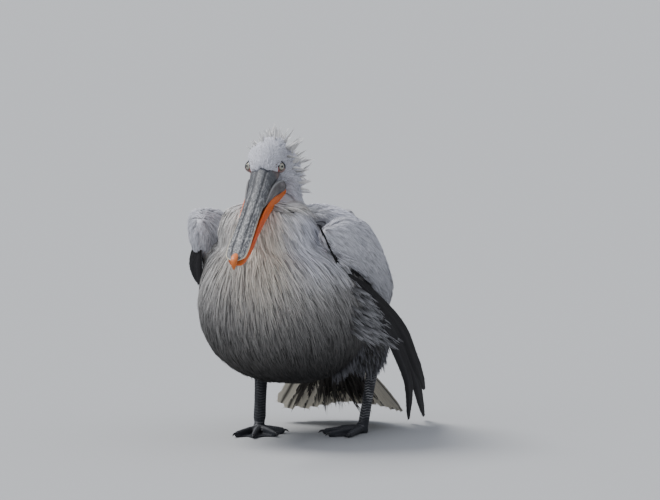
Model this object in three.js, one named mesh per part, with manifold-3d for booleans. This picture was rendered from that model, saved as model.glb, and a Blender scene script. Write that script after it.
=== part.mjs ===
// A Dalmatian pelican at rest, life size: it stands on both webbed feet with its neck drawn in,
// the bill pointing down over the breast and the wings folded over the back.
//
// Millimetres, +Z up. The bird faces -Y and its left side is +X. Every form is modelled in the
// stance frame, whose origin lies on the ground midway between the legs, and the whole bird is
// then set so that the origin is at the middle of its footprint.

import * as THREE from "three";
import { mergeVertices } from "three/addons/utils/BufferGeometryUtils.js";
import Module from "manifold-3d";

const wasm = await Module();
wasm.setup();

// ---- driving dimensions ------------------------------------------------------------------

const GAP = 0.5; // between two pieces that meet
const FOOTPRINT_MIDDLE = [-4, -127, 0]; // of the whole bird, in the stance frame

const BODY_HALF_WIDTH = 168;
const BILL_LENGTH = 380; // forehead feathers to the tip of the nail
const TARSUS = { wide: 11.5, deep: 14 }; // half sizes, across the leg and fore and aft
const TOE_RADIUS = 6.5;
const TAIL_LENGTH = 234;
const TAIL_FEATHERS = 8;
const EYE_RADIUS = 11;
const EYE_SPACING = 60; // between the centres of the eyeballs

const HEAD_AT = [-12, -193, 580]; // midway between the eyes
const HEAD_YAW = 16; // degrees to the bird's left
const HEAD_PITCH = 22.5; // degrees, the bill below the horizon

const ANKLE = { left: [110, 69, 124], right: [-106, -18, 122] };
const FOOT_AT = { left: [98, 45, 0], right: [-98, -45, 0] };
const TOE_IN = { left: 12, right: 15 }; // degrees

// ---- solids ------------------------------------------------------------------------------

const vector = (p) => new THREE.Vector3(...p);
const radians = THREE.MathUtils.degToRad;
const SIDES = { left: 1, right: -1 };

// A smooth value through stations [t, value...], for a column of them.
function along(stations, column) {
  const curve = new THREE.CatmullRomCurve3(
    stations.map((s) => new THREE.Vector3(s[0], s[column], 0)),
    false,
    "centripetal",
  );
  const table = curve.getPoints(60);
  return (t) => {
    const i = table.findIndex((p) => p.x >= t);
    if (i <= 0) return table[i < 0 ? table.length - 1 : 0].y;
    const [a, b] = [table[i - 1], table[i]];
    return a.y + ((b.y - a.y) * (t - a.x)) / Math.max(b.x - a.x, 1e-6);
  };
}

// A rounded form on a curved spine. sizes holds stations [t, across, over, under]: half sizes
// along the across direction, and to either side of it. ends are the shares of the length that
// round off at the start and at the tip. grow makes the same form larger all over.
function swell({ spine, across, sizes, ends = [0.5, 0.5], sides = 16, rings = 10, square = 2 }, grow = 0) {
  const path = new THREE.CatmullRomCurve3(spine.map(vector));
  const [width, over, under] = [1, 2, 3].map((column) => along(sizes, column));
  const ball = new THREE.SphereGeometry(1, sides, rings);
  const place = ball.getAttribute("position");
  const reference = vector(across).normalize();
  for (let i = 0; i < place.count; i++) {
    const unit = new THREE.Vector3().fromBufferAttribute(place, i);
    const t = THREE.MathUtils.clamp((1 - unit.y) / 2, 0, 1);
    const lead = ends[0] > 0 ? Math.min(t / ends[0], 1) : 1;
    const tail = ends[1] > 0 ? Math.min((1 - t) / ends[1], 1) : 1;
    const cap = Math.sqrt(1 - (1 - lead) ** 2) * Math.sqrt(1 - (1 - tail) ** 2);
    const forward = path.getTangentAt(t);
    const side = reference.clone().addScaledVector(forward, -reference.dot(forward)).normalize();
    const up = new THREE.Vector3().crossVectors(side, forward);
    const radius = Math.hypot(unit.x, unit.z);
    const [c, s] = radius > 1e-6 ? [unit.x / radius, unit.z / radius] : [1, 0];
    const [cs, ss] = [c, s].map((v) => Math.sign(v) * Math.abs(v) ** (2 / square));
    const pole = radius < 1e-6 ? 0 : cap;
    const point = path.getPointAt(t);
    point.addScaledVector(side, cs * width(t) * pole + grow * unit.x);
    point.addScaledVector(up, ss * (s > 0 ? over(t) : under(t)) * pole + grow * unit.z);
    point.addScaledVector(forward, -grow * unit.y);
    place.setXYZ(i, ...point);
  }
  return ball;
}

// A three.js geometry as a closed solid, whichever way its faces turn.
function solidOf(geometry) {
  const bare = geometry.clone();
  bare.deleteAttribute("normal");
  bare.deleteAttribute("uv");
  const merged = mergeVertices(bare, 1e-3);
  const corners = new Uint32Array(merged.index.array);
  const vertices = merged.getAttribute("position").array;
  const make = () => new wasm.Manifold(
    new wasm.Mesh({ numProp: 3, vertProperties: vertices, triVerts: corners }),
  );
  const made = make();
  if (made.volume() > 0) return made;
  for (let i = 0; i < corners.length; i += 3) {
    [corners[i + 1], corners[i + 2]] = [corners[i + 2], corners[i + 1]];
  }
  return make();
}

const joined = (geometries) => geometries.map(solidOf).reduce((a, b) => a.add(b));

// The largest body of a solid: a cut can leave crumbs.
function largest(solid) {
  return solid.decompose().reduce((a, b) => (b.volume() > a.volume() ? b : a));
}

function geometryOf(solid) {
  const mesh = solid.getMesh();
  return new THREE.BufferGeometry()
    .setAttribute("position", new THREE.BufferAttribute(new Float32Array(mesh.vertProperties), 3))
    .setIndex(new THREE.BufferAttribute(new Uint32Array(mesh.triVerts), 1));
}

// ---- the two frames ------------------------------------------------------------------------

const bird = new THREE.Group(); // the stance frame
bird.position.set(...FOOTPRINT_MIDDLE.map((v) => -v));

const headFrame = new THREE.Group(); // origin between the eyes, the bill along -Y
headFrame.position.set(...HEAD_AT);
headFrame.rotation.set(radians(HEAD_PITCH), 0, radians(HEAD_YAW), "ZXY");
bird.add(headFrame);
bird.updateMatrixWorld(true);

// ---- pieces and how they clear each other ------------------------------------------------

const pieces = new Map();

// Makes one named mesh. form(grow) gives the geometries that the piece is made of, clear names
// the pieces that it gives way to, and trims are closed geometries to cut away.
function addPiece(name, frame, paint, form, { clear = [], trims = [] } = {}) {
  let solid = joined(form(0));
  for (const other of clear) {
    const { frame: from, form: otherForm } = pieces.get(other);
    const shift = frame.matrixWorld.clone().invert().multiply(from.matrixWorld);
    solid = solid.subtract(joined(otherForm(GAP)).transform(shift.elements));
  }
  for (const trim of trims) solid = solid.subtract(solidOf(trim));
  const mesh = new THREE.Mesh(geometryOf(largest(solid).simplify(GAP * 0.4)), paint);
  mesh.name = name;
  frame.add(mesh);
  pieces.set(name, { frame, form });
}

const finish = (color, roughness) => new THREE.MeshStandardMaterial({ color, roughness, metalness: 0 });
const plumage = finish(0xd3d2d6, 0.85);
const breastPlumage = finish(0xd8d3c4, 0.85);
const quills = finish(0x1a1a1c, 0.55);
const rectrix = finish(0xc9c5bd, 0.8);
const billHorn = finish(0x7d7d80, 0.5);
const pouchSkin = finish(0xd9541a, 0.5);
const nailHorn = finish(0xd9832f, 0.4);
const iris = finish(0xe8e2c8, 0.15);
const legSkin = finish(0x4a4b50, 0.6);
const claw = finish(0x2b2a2a, 0.45);

// ---- trunk and neck ------------------------------------------------------------------------

const X_AXIS = [1, 0, 0];
const Z_AXIS = [0, 0, 1];

// Breast, belly and back in one egg, the breast at the front and the rump behind.
addPiece("trunk", bird, breastPlumage, (grow) => [
  swell({
    spine: [[-9, -305, 390], [-9, -220, 345], [-8, -95, 300], [-5, 30, 270], [-4, 120, 250], [-4, 190, 222]],
    across: X_AXIS,
    sizes: [
      [0, 108, 84, 108],
      [0.2, 150, 112, 178],
      [0.42, BODY_HALF_WIDTH, 150, 186],
      [0.62, 154, 166, 164],
      [0.8, 122, 130, 126],
      [1, 84, 66, 64],
    ],
    ends: [0.3, 0.35],
    sides: 22,
    rings: 13,
    square: 2.35,
  }, grow),
]);

// The drawn-in neck: a thick column of plumage from the back of the head down into the breast.
const NECK_PARTING = [0, 0, 512]; // the height of the joint between its two lengths
const neckForm = (grow) => [
  swell({
    spine: [[-10, -140, 612], [-8, -130, 560], [-7, -142, 500], [-6, -186, 430], [-6, -236, 350]],
    across: X_AXIS,
    sizes: [
      [0, 38, 30, 34],
      [0.2, 44, 40, 46],
      [0.42, 62, 62, 84],
      [0.65, 106, 104, 110],
      [1, 124, 110, 112],
    ],
    ends: [0.12, 0.4],
    sides: 14,
    rings: 12,
  }, grow),
];

// A slab that fills everything above or below the neck's parting.
function beyondParting(direction) {
  const size = 600;
  const slab = new THREE.BoxGeometry(size, size, size);
  return slab.translate(0, 0, NECK_PARTING[2] + direction * (size / 2 - GAP / 2));
}

// ---- head ----------------------------------------------------------------------------------

for (const side in SIDES) {
  addPiece(`eye_${side}`, headFrame, iris, (grow) => [
    new THREE.SphereGeometry(EYE_RADIUS + grow, 12, 8).translate((SIDES[side] * EYE_SPACING) / 2, -4, -6),
  ]);
}

// Upper mandible: a long flat blade, deep at the face, keeled above, widest just behind its nail.
const CULMEN_AT = [0, -38, 8]; // where the forehead feathers end on the keel
const BILL_TIP_Y = CULMEN_AT[1] - BILL_LENGTH;
addPiece("bill_nail", headFrame, nailHorn, (grow) => [
  swell({
    spine: [[0, BILL_TIP_Y + 30, -10], [0, BILL_TIP_Y + 12, -11], [0, BILL_TIP_Y + 2, -17], [0, BILL_TIP_Y, -29]],
    across: X_AXIS,
    sizes: [[0, 6, 3.5, 3.5], [0.4, 8.5, 4.5, 5], [0.7, 7, 5, 5], [1, 4, 3, 3]],
    ends: [0.3, 0.5],
    sides: 8,
    rings: 7,
  }, grow),
]);

addPiece("bill_upper", headFrame, billHorn, (grow) => [
  swell({
    spine: [[0, -12, -18], [0, -60, -16], [0, -135, -17], [0, -240, -15], [0, -335, -14], [0, BILL_TIP_Y + 12, -14]],
    across: X_AXIS,
    sizes: [
      [0, 30, 24, 22],
      [0.12, 27, 23, 18],
      [0.3, 22.5, 15, 12],
      [0.55, 20, 9, 6.5],
      [0.85, 22.5, 7, 4.5],
      [1, 19, 6, 4],
    ],
    ends: [0.06, 0.1],
    sides: 12,
    rings: 12,
    square: 2.3,
  }, grow),
], { clear: ["eye_left", "eye_right", "bill_nail"] });

// Lower mandible: two thin rami that run along the edges of the upper one and meet at the tip.
const RAMUS = [
  [36, 2, -60],
  [31.5, -60, -44],
  [25.5, -135, -34],
  [22, -230, -27],
  [21.5, -322, -24],
  [14, -385, -23],
];
const ramusLoop = [...RAMUS, [0, BILL_TIP_Y + 14, -22.5], ...RAMUS.map(([x, y, z]) => [-x, y, z]).reverse()];
addPiece("bill_lower", headFrame, pouchSkin, (grow) => [
  swell({
    spine: ramusLoop,
    across: Z_AXIS,
    sizes: [[0, 9, 4, 4], [0.25, 7, 3.5, 3.5], [0.5, 3.5, 3.5, 3.5], [0.75, 7, 3.5, 3.5], [1, 9, 4, 4]],
    ends: [0.02, 0.02],
    sides: 6,
    rings: 24,
  }, grow),
], { clear: ["bill_upper", "bill_nail"] });

addPiece("head", headFrame, plumage, (grow) => [
  swell({
    spine: [[0, -52, -12], [0, -15, -2], [0, 30, 4], [0, 74, -4]],
    across: X_AXIS,
    sizes: [
      [0, 26, 18, 26],
      [0.25, 30, 25, 40],
      [0.5, 37, 36, 50],
      [0.75, 43, 43, 54],
      [1, 41, 39, 48],
    ],
    ends: [0.25, 0.5],
    sides: 14,
    rings: 10,
  }, grow),
], { clear: ["eye_left", "eye_right", "bill_upper", "bill_lower"] });

// The pouch hangs slack between the rami, from the throat to near the tip.
addPiece("pouch", headFrame, pouchSkin, (grow) => [
  swell({
    spine: [[0, 24, -76], [0, -60, -58], [0, -170, -44], [0, -285, -34], [0, -364, -29]],
    across: X_AXIS,
    sizes: [[0, 32, 16, 14], [0.2, 30, 15, 17], [0.5, 24, 10, 14], [0.8, 19, 6, 8], [1, 11, 3, 3]],
    ends: [0.1, 0.1],
    sides: 8,
    rings: 8,
  }, grow),
], { clear: ["bill_upper", "bill_nail", "bill_lower", "head"] });

const neckPartings = { neck_upper: -1, neck_lower: 1 };
for (const name in neckPartings) {
  addPiece(name, bird, plumage, neckForm, {
    clear: ["trunk", "head", "bill_upper", "bill_lower", "pouch"],
    trims: [beyondParting(neckPartings[name])],
  });
}

// The shaggy crest: curled spikes that stand out from the crown, the nape and the neck's sides.
const CREST_ROWS = 5;
const CREST_LEAN = 62; // degrees, how far its side spikes turn away from the nape
const crestCore = new THREE.CatmullRomCurve3(
  [[-14, -170, 592], [-20, -150, 598], [-14, -138, 578], [-9, -131, 540]].map(vector),
);
function crestSpike(row, lean, grow) {
  const share = row / (CREST_ROWS - 1);
  const swing = radians(5 + 85 * Math.min(1, share * 1.5)); // from the crown to the nape
  const side = Math.sin(radians(lean));
  const back = Math.cos(radians(lean));
  const out = vector([side, back * Math.sin(swing), back * Math.cos(swing)]);
  const curl = vector([0, Math.cos(swing) * 0.7 + 0.3, 0.25 - Math.sin(swing) * 0.5]);
  const core = crestCore.getPointAt(share);
  const reach = (distance, bend) => core.clone().addScaledVector(out, distance).addScaledVector(curl, bend).toArray();
  return swell({
    spine: [reach(36, 0), reach(56, 3), reach(72, 14)],
    across: X_AXIS,
    sizes: [[0, 6, 6, 6], [0.6, 4, 4, 4], [1, 1.5, 1.5, 1.5]],
    ends: [0.05, 0.1],
    sides: 4,
    rings: 4,
  }, grow);
}
addPiece("crest", bird, plumage, (grow) => {
  const pad = swell({
    spine: [[-14, -190, 606], [-20, -145, 612], [-13, -122, 585], [-9, -121, 540], [-9, -128, 508]],
    across: X_AXIS,
    sizes: [[0, 34, 28, 20], [0.3, 44, 38, 20], [0.7, 46, 40, 20], [1, 50, 44, 20]],
    ends: [0.4, 0.3],
    sides: 8,
    rings: 6,
  }, grow);
  const spikes = [];
  for (let row = 0; row < CREST_ROWS; row++) {
    const leans = row % 2 ? [-CREST_LEAN / 2, CREST_LEAN / 2] : [-CREST_LEAN, 0, CREST_LEAN];
    for (const lean of leans) spikes.push(crestSpike(row, lean, grow));
  }
  return [pad, ...spikes];
}, { clear: ["head", "neck_upper"] });

// ---- wings ---------------------------------------------------------------------------------

// A point given for the left side, on either side of the body's middle plane.
const BODY_MIDDLE_X = -6;
const mirrored = (points, side) =>
  points.map(([x, y, z]) => [BODY_MIDDLE_X + SIDES[side] * (x - BODY_MIDDLE_X), y, z]);

// A flat feather, or a stack of them: spine from the root to the tip, half as wide as given.
function vane(spine, across, halfWidth, grow, halfThickness = 2) {
  return swell({
    spine,
    across,
    sizes: [
      [0, halfWidth * 0.6, halfThickness, halfThickness],
      [0.5, halfWidth, halfThickness, halfThickness],
      [0.85, halfWidth * 0.85, halfThickness, halfThickness],
      [1, halfWidth * 0.5, halfThickness * 0.7, halfThickness * 0.7],
    ],
    ends: [0.1, 0.2],
    sides: 6,
    rings: 6,
  }, grow);
}

// The flight feathers of the hand: a black stack from the wrist coverts down to the floor, where
// the two longest part like fingers.
const WRIST_EDGE = [[152, -136, 358], [163, -60, 306]]; // where they leave the lower edge of the wing
const TIPS_HELD = { left: 0, right: 96 }; // the left wing's tips droop to the floor

// Points of a wing tip, raised by the share of TIPS_HELD that comes last in each.
const tipPoints = (points, side) =>
  mirrored(points.map(([x, y, z, share]) => [x, y, z + share * TIPS_HELD[side]]), side);
for (const side in SIDES) {
  const across = [0.1 * SIDES[side], 0.62, 0.78];
  addPiece(`primaries_${side}`, bird, quills, (grow) => [
    vane([
      ...mirrored(WRIST_EDGE, side),
      ...tipPoints([[164, 70, 222, 0.25], [154, 165, 135, 0.6], [138, 236, 72, 0.85]], side),
    ], across, 30, grow, 4),
    vane(tipPoints([[158, 90, 196, 0.3], [146, 200, 108, 0.7], [122, 306, 6, 1]], side), across, 13, grow, 2.5),
    vane(tipPoints([[158, 70, 196, 0.3], [143, 180, 100, 0.7], [118, 238, 6, 1]], side), across, 12, grow, 2.5),
  ], { clear: ["trunk"] });
}

// Coverts and secondaries: the smooth outer face of the folded wing, bent at the wrist in front.
// The right wrist is held further ahead and its coverts hang a little deeper.
const WING_SHIFT = { left: [0, 0, 0], right: [4, -32, 2] };
const WING_DEEPER = { left: 0, right: 10 };
const WING_SPINE = [
  [118, -215, 432],
  [142, -172, 433],
  [141, -95, 408],
  [131, -15, 350],
  [113, 80, 290],
  [86, 160, 236],
];
const wingPoints = (side) =>
  mirrored(WING_SPINE.map((point) => point.map((v, axis) => v + WING_SHIFT[side][axis])), side);
for (const side in SIDES) {
  addPiece(`wing_${side}`, bird, plumage, (grow) => [
    swell({
      spine: wingPoints(side),
      across: [0.25 * SIDES[side], 0.3, 1],
      sizes: [
        [0, 46 + WING_DEEPER[side], 30, 32],
        [0.2, 54 + WING_DEEPER[side], 32, 40],
        [0.45, 48 + WING_DEEPER[side] / 2, 29, 44],
        [0.7, 44, 22, 38],
        [1, 26, 10, 20],
      ],
      ends: [0.3, 0.3],
      sides: 14,
      rings: 9,
      square: 2.6,
    }, grow),
  ], { clear: ["trunk", "neck_lower", `primaries_${side}`] });
}

// Tertials: broad feathers that lie over the rump, out past the root of the tail.
for (const side in SIDES) {
  const lanes = [0, 1, 2];
  addPiece(`tertials_${side}`, bird, plumage, (grow) => lanes.map((lane) => vane(
    mirrored([
      [30 + 29 * lane, 10, 416 - 14 * lane],
      [26 + 27 * lane, 150, 318 - 12 * lane],
      [20 + 26 * lane, 262 - 14 * lane, 196 - 6 * lane],
    ], side),
    [1, 0, -0.35 * SIDES[side]],
    26,
    grow,
    5,
  )), { clear: ["trunk", `wing_${side}`, ...(side === "right" ? ["tertials_left"] : [])] });
}

// Scapulars: the long feathers of the shoulder that roof the back.
for (const side in SIDES) {
  const others = ["trunk", "neck_lower", "neck_upper", "tertials_left", "tertials_right", `wing_${side}`];
  addPiece(`scapulars_${side}`, bird, plumage, (grow) => [
    swell({
      spine: mirrored([[44, -128, 472], [64, -60, 462], [70, 30, 425], [62, 120, 365], [54, 190, 312]], side),
      across: [1, 0, 0.25 * -SIDES[side]],
      sizes: [[0, 40, 22, 22], [0.3, 58, 29, 30], [0.6, 54, 25, 26], [1, 32, 10, 10]],
      ends: [0.35, 0.5],
      sides: 12,
      rings: 9,
    }, grow),
  ], { clear: side === "right" ? [...others, "scapulars_left"] : others });
}

// ---- tail ----------------------------------------------------------------------------------

// Stiff broad feathers in a drooped fan, each from the rump to a rounded tip near the floor.
const TAIL_ROOT = [-4, 92, 214];
const TAIL_DROOP = 48; // degrees below the horizon
const TAIL_SPREAD = 36; // degrees, to the outermost feather
const TAIL_TENT = 18; // degrees, how much more the outermost feather droops
function tailPoint(fan, distance) {
  const turn = radians(fan);
  const droop = radians(TAIL_DROOP + TAIL_TENT * (fan / TAIL_SPREAD) ** 2);
  const out = vector([Math.sin(turn), Math.cos(turn) * Math.cos(droop), -Math.cos(turn) * Math.sin(droop)]);
  return vector(TAIL_ROOT).addScaledVector(out, distance).toArray();
}
addPiece("tail", bird, rectrix, (grow) => {
  const feathers = [];
  for (let i = 0; i < TAIL_FEATHERS; i++) {
    const fan = TAIL_SPREAD * ((2 * i) / (TAIL_FEATHERS - 1) - 1);
    const spine = [0.1, 0.55, 1].map((share) => tailPoint(fan, share * TAIL_LENGTH));
    feathers.push(vane(spine, [Math.cos(radians(fan)), -Math.sin(radians(fan)), 0], 23, grow, 3));
  }
  return feathers;
}, { clear: ["trunk", "tertials_left", "tertials_right", "primaries_left", "primaries_right"] });

// ---- legs and feet -------------------------------------------------------------------------

// A point of a foot: distance from its heel, turned from straight ahead towards the other foot.
function footPoint(side, turn, distance, height) {
  const angle = radians(turn + TOE_IN[side]);
  const [x, y] = FOOT_AT[side];
  return [x - SIDES[side] * Math.sin(angle) * distance, y - Math.cos(angle) * distance, height];
}

// All four toes are joined by webs: name, turn in degrees, length to the root of the claw.
const TOES = { outer: [-20, 100], middle: [4, 108], inner: [34, 88], hind: [86, 56] };
const SOLE_TRIM = new THREE.BoxGeometry(900, 900, 100).translate(0, 0, -50);

for (const side in SIDES) {
  for (const toe in TOES) {
    const [turn, length] = TOES[toe];
    addPiece(`claw_${side}_${toe}`, bird, claw, (grow) => [
      swell({
        spine: [footPoint(side, turn, length - 5, 7), footPoint(side, turn, length + 3, 7.5), footPoint(side, turn, length + 10, 4)],
        across: Z_AXIS,
        sizes: [[0, 3.5, 3, 3], [0.5, 3, 2.5, 2.5], [1, 1.2, 1, 1]],
        ends: [0.1, 0.3],
        sides: 6,
        rings: 5,
      }, grow),
    ]);
  }
}

function web(side, from, to, grow) {
  const [[turnA, lengthA], [turnB, lengthB]] = [TOES[from], TOES[to]];
  const slack = 0.74; // of the toes' length, how far out the free edge is at its middle
  const outline = [
    footPoint(side, (turnA + turnB) / 2, -4, 0),
    footPoint(side, turnA, lengthA * 0.96, 0),
    footPoint(side, turnA * 0.72 + turnB * 0.28, (lengthA * 0.72 + lengthB * 0.28) * (slack + 0.08), 0),
    footPoint(side, (turnA + turnB) / 2, ((lengthA + lengthB) / 2) * slack, 0),
    footPoint(side, turnA * 0.28 + turnB * 0.72, (lengthA * 0.28 + lengthB * 0.72) * (slack + 0.08), 0),
    footPoint(side, turnB, lengthB * 0.96, 0),
  ];
  const shape = new THREE.Shape(outline.map(([x, y]) => new THREE.Vector2(x, y)));
  return new THREE.ExtrudeGeometry(shape, { depth: 3 + grow, bevelEnabled: false, steps: 1 });
}

for (const side in SIDES) {
  const claws = Object.keys(TOES).map((toe) => `claw_${side}_${toe}`);
  addPiece(`foot_${side}`, bird, legSkin, (grow) => {
    const toes = Object.values(TOES).map(([turn, length]) => swell({
      spine: [footPoint(side, turn, -3, 9), footPoint(side, turn, length * 0.45, 7), footPoint(side, turn, length + 2, 4.5)],
      across: [Math.cos(radians(turn + TOE_IN[side])), -SIDES[side] * Math.sin(radians(turn + TOE_IN[side])), 0],
      sizes: [[0, 10, 8, 10], [0.4, TOE_RADIUS, TOE_RADIUS, 10], [0.8, TOE_RADIUS * 0.85, 5.5, 9], [1, 5, 4.5, 7]],
      ends: [0.15, 0.1],
      sides: 8,
      rings: 5,
    }, grow));
    const heel = swell({
      spine: [[...FOOT_AT[side].slice(0, 2), -4], [...FOOT_AT[side].slice(0, 2), 24]],
      across: X_AXIS,
      sizes: [[0, 15, 17, 17], [0.6, 13.5, 15, 15], [1, TARSUS.wide, TARSUS.deep, TARSUS.deep]],
      ends: [0.2, 0.2],
      sides: 8,
      rings: 5,
    }, grow);
    return [heel, ...toes, web(side, "outer", "middle", grow), web(side, "middle", "inner", grow), web(side, "inner", "hind", grow)];
  }, { clear: claws, trims: [SOLE_TRIM] });
}

// The bare shank, oval in section, knuckled at the ankle.
for (const side in SIDES) {
  const [foot, ankle] = [FOOT_AT[side], ANKLE[side]];
  const between = (share) => foot.map((v, i) => v + (ankle[i] - v) * share);
  addPiece(`tarsus_${side}`, bird, legSkin, (grow) => [
    swell({
      spine: [between(0.08), between(0.35), between(0.7), between(1.16)],
      across: X_AXIS,
      sizes: [
        [0, TARSUS.wide, TARSUS.deep, TARSUS.deep],
        [0.4, TARSUS.wide - 1, TARSUS.deep - 1.5, TARSUS.deep - 1.5],
        [0.8, TARSUS.wide + 0.5, TARSUS.deep, TARSUS.deep],
        [1, TARSUS.wide + 4, TARSUS.deep + 4, TARSUS.deep + 4],
      ],
      ends: [0.05, 0.12],
      sides: 8,
      rings: 7,
    }, grow),
  ], { clear: [`foot_${side}`, "trunk"] });
}

// Feathered thighs, mostly within the belly plumage.
for (const side in SIDES) {
  const [x, y, z] = ANKLE[side];
  addPiece(`thigh_${side}`, bird, breastPlumage, (grow) => [
    swell({
      spine: [[x * 0.84, y - 36, z + 110], [x * 0.93, y - 14, z + 50], [x, y, z + 4]],
      across: X_AXIS,
      sizes: [[0, 60, 72, 72], [0.5, 50, 62, 58], [0.8, 34, 42, 40], [1, 20, 24, 24]],
      ends: [0.3, 0.2],
      sides: 10,
      rings: 6,
    }, grow),
  ], { clear: ["trunk", "tail", `tarsus_${side}`, `wing_${side}`, `primaries_${side}`] });
}

export default bird;
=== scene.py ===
"""A life-size Dalmatian pelican that stands with its neck drawn in and its wings folded.

The plans are in millimetres from the ground midway between the legs, the bird facing -Y with its
left side at +X. at() turns such a place into the row's metres.
"""

import bmesh
import bpy
import numpy as np
from mathutils import Matrix, Vector
from mathutils.bvhtree import BVHTree


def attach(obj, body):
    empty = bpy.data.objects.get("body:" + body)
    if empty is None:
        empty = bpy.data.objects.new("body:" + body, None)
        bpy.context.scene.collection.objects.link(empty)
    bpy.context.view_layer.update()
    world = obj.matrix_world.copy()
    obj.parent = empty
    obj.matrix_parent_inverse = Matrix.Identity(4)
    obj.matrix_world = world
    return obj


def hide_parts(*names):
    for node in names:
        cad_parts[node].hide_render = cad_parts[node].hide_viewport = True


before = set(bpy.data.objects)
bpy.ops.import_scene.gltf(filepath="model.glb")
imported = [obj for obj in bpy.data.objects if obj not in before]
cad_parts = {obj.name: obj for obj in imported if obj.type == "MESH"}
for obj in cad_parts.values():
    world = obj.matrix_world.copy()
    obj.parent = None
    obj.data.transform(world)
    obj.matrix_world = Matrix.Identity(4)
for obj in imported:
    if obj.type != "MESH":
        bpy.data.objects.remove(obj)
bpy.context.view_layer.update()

# ---- camera --------------------------------------------------------------------------------
# A long lens from 12 m away, 25 degrees round to the bird's left and 5 degrees up.

GROUND_MIDDLE = np.array([-4.0, -127.0, 0.0])


def at(places):
    """Places of the plans, in the row's metres."""
    return (np.asarray(places, float) - GROUND_MIDDLE) / 1000.0


VIEW_AZIMUTH = np.radians(25.0)
VIEW_ELEVATION = np.radians(5.0)
VIEW_DISTANCE = 12.0
VIEW_TARGET = Vector(at([23.0, 47.6, 382.5]))
VIEW_WIDTH = 660 * 0.0021  # metres of the bird across the picture

camera = bpy.data.objects.new("camera", bpy.data.cameras.new("camera"))
bpy.context.scene.collection.objects.link(camera)
away = Vector((
    np.sin(VIEW_AZIMUTH) * np.cos(VIEW_ELEVATION),
    -np.cos(VIEW_AZIMUTH) * np.cos(VIEW_ELEVATION),
    np.sin(VIEW_ELEVATION),
))
camera.location = VIEW_TARGET + away * VIEW_DISTANCE
camera.rotation_euler = (-away).to_track_quat("-Z", "Y").to_euler()
camera.data.sensor_width = 36.0
camera.data.lens = 36.0 * VIEW_DISTANCE / VIEW_WIDTH
camera.data.clip_end = 100.0
bpy.context.scene.camera = camera

# ---- floor and light -----------------------------------------------------------------------
# A wide pale floor under a broad soft key from behind the bird's right, and a weaker fill in front.


def material(name, roughness, specular, coat=0.0):
    """A new node material and its shader, with the numbers that are the same all over."""
    made = bpy.data.materials.new(name)
    made.use_nodes = True
    shader = made.node_tree.nodes["Principled BSDF"]
    shader.inputs["Roughness"].default_value = roughness
    shader.inputs["Specular IOR Level"].default_value = specular
    shader.inputs["Coat Weight"].default_value = coat
    shader.inputs["Coat Roughness"].default_value = 0.08
    return made, shader


def node(made, kind, **values):
    """Adds a node; values set its sockets by name, or its own settings in lower case."""
    added = made.node_tree.nodes.new(kind)
    for key, value in values.items():
        if key.islower() and hasattr(added, key):
            setattr(added, key, value)
        else:
            added.inputs[key.replace("_", " ")].default_value = value
    return added


def link(made, *joints):
    """Joins nodes; each joint is a node, its output, the next node and its input."""
    for start, out, end, into in joints:
        made.node_tree.links.new(start.outputs[out], end.inputs[into])


def quad_mesh(name, places, quads, finish):
    """An object in the scene from places in the row's metres and four-cornered faces."""
    mesh = bpy.data.meshes.new(name)
    mesh.vertices.add(len(places))
    mesh.vertices.foreach_set("co", np.asarray(places, np.float32).ravel())
    mesh.loops.add(quads.size)
    mesh.loops.foreach_set("vertex_index", np.asarray(quads, np.int32).ravel())
    mesh.polygons.add(len(quads))
    mesh.polygons.foreach_set("loop_start", np.arange(0, quads.size, 4, dtype=np.int32))
    mesh.polygons.foreach_set("use_smooth", np.full(len(quads), True))
    mesh.update(calc_edges=True)
    mesh.materials.append(finish)
    made = bpy.data.objects.new(name, mesh)
    bpy.context.scene.collection.objects.link(made)
    return made


def grid_quads(rows, columns, closed=False):
    """The faces of a grid of rows x columns places, whose last column may meet its first."""
    i = np.arange(rows - 1)[:, None] * columns
    j = np.arange(columns if closed else columns - 1)[None, :]
    k = (j + 1) % columns
    return np.stack([i + j, i + k, i + columns + k, i + columns + j], -1).reshape(-1, 4)


def curve(points, t):
    """Places at the shares t of a smooth curve through evenly spaced points."""
    p = np.asarray(points, float)
    p = np.concatenate([2 * p[:1] - p[1:2], p, 2 * p[-1:] - p[-2:-1]])
    x = np.clip(np.asarray(t, float), 0, 1) * (len(p) - 3)
    i = np.minimum(x.astype(int), len(p) - 4)
    f = (x - i)[..., None]
    a, b, c, d = (p[i + k] for k in range(4))
    return 0.5 * (2 * b + (c - a) * f + (2 * a - 5 * b + 4 * c - d) * f**2 + (3 * b - a - 3 * c + d) * f**3)


reach = np.linspace(-60.0, 60.0, 25)
floor_places = [[x, y, 0.0] for y in reach for x in reach]
floor_paint, floor_shader = material("floor_paint", roughness=0.9, specular=0.2)
floor_noise = node(floor_paint, "ShaderNodeTexNoise", Scale=3.0, Detail=4.0)
floor_ramp = node(floor_paint, "ShaderNodeValToRGB")
floor_ramp.color_ramp.elements[0].color = (0.43, 0.44, 0.45, 1)
floor_ramp.color_ramp.elements[1].color = (0.48, 0.485, 0.49, 1)
link(
    floor_paint,
    (floor_noise, "Fac", floor_ramp, "Fac"),
    (floor_ramp, "Color", floor_shader, "Base Color"),
)
floor = quad_mesh("floor", floor_places, grid_quads(len(reach), len(reach)), floor_paint)


def soft_lamp(name, place, power, softness, colour):
    """A far lamp that shines from a place towards the bird, as wide as softness in degrees."""
    lamp = bpy.data.lights.new(name, "SUN")
    lamp.energy = power
    lamp.angle = np.radians(softness)
    lamp.color = colour
    made = bpy.data.objects.new(name, lamp)
    made.location = place
    made.rotation_euler = (VIEW_TARGET - Vector(place)).to_track_quat("-Z", "Y").to_euler()
    bpy.context.scene.collection.objects.link(made)


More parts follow.
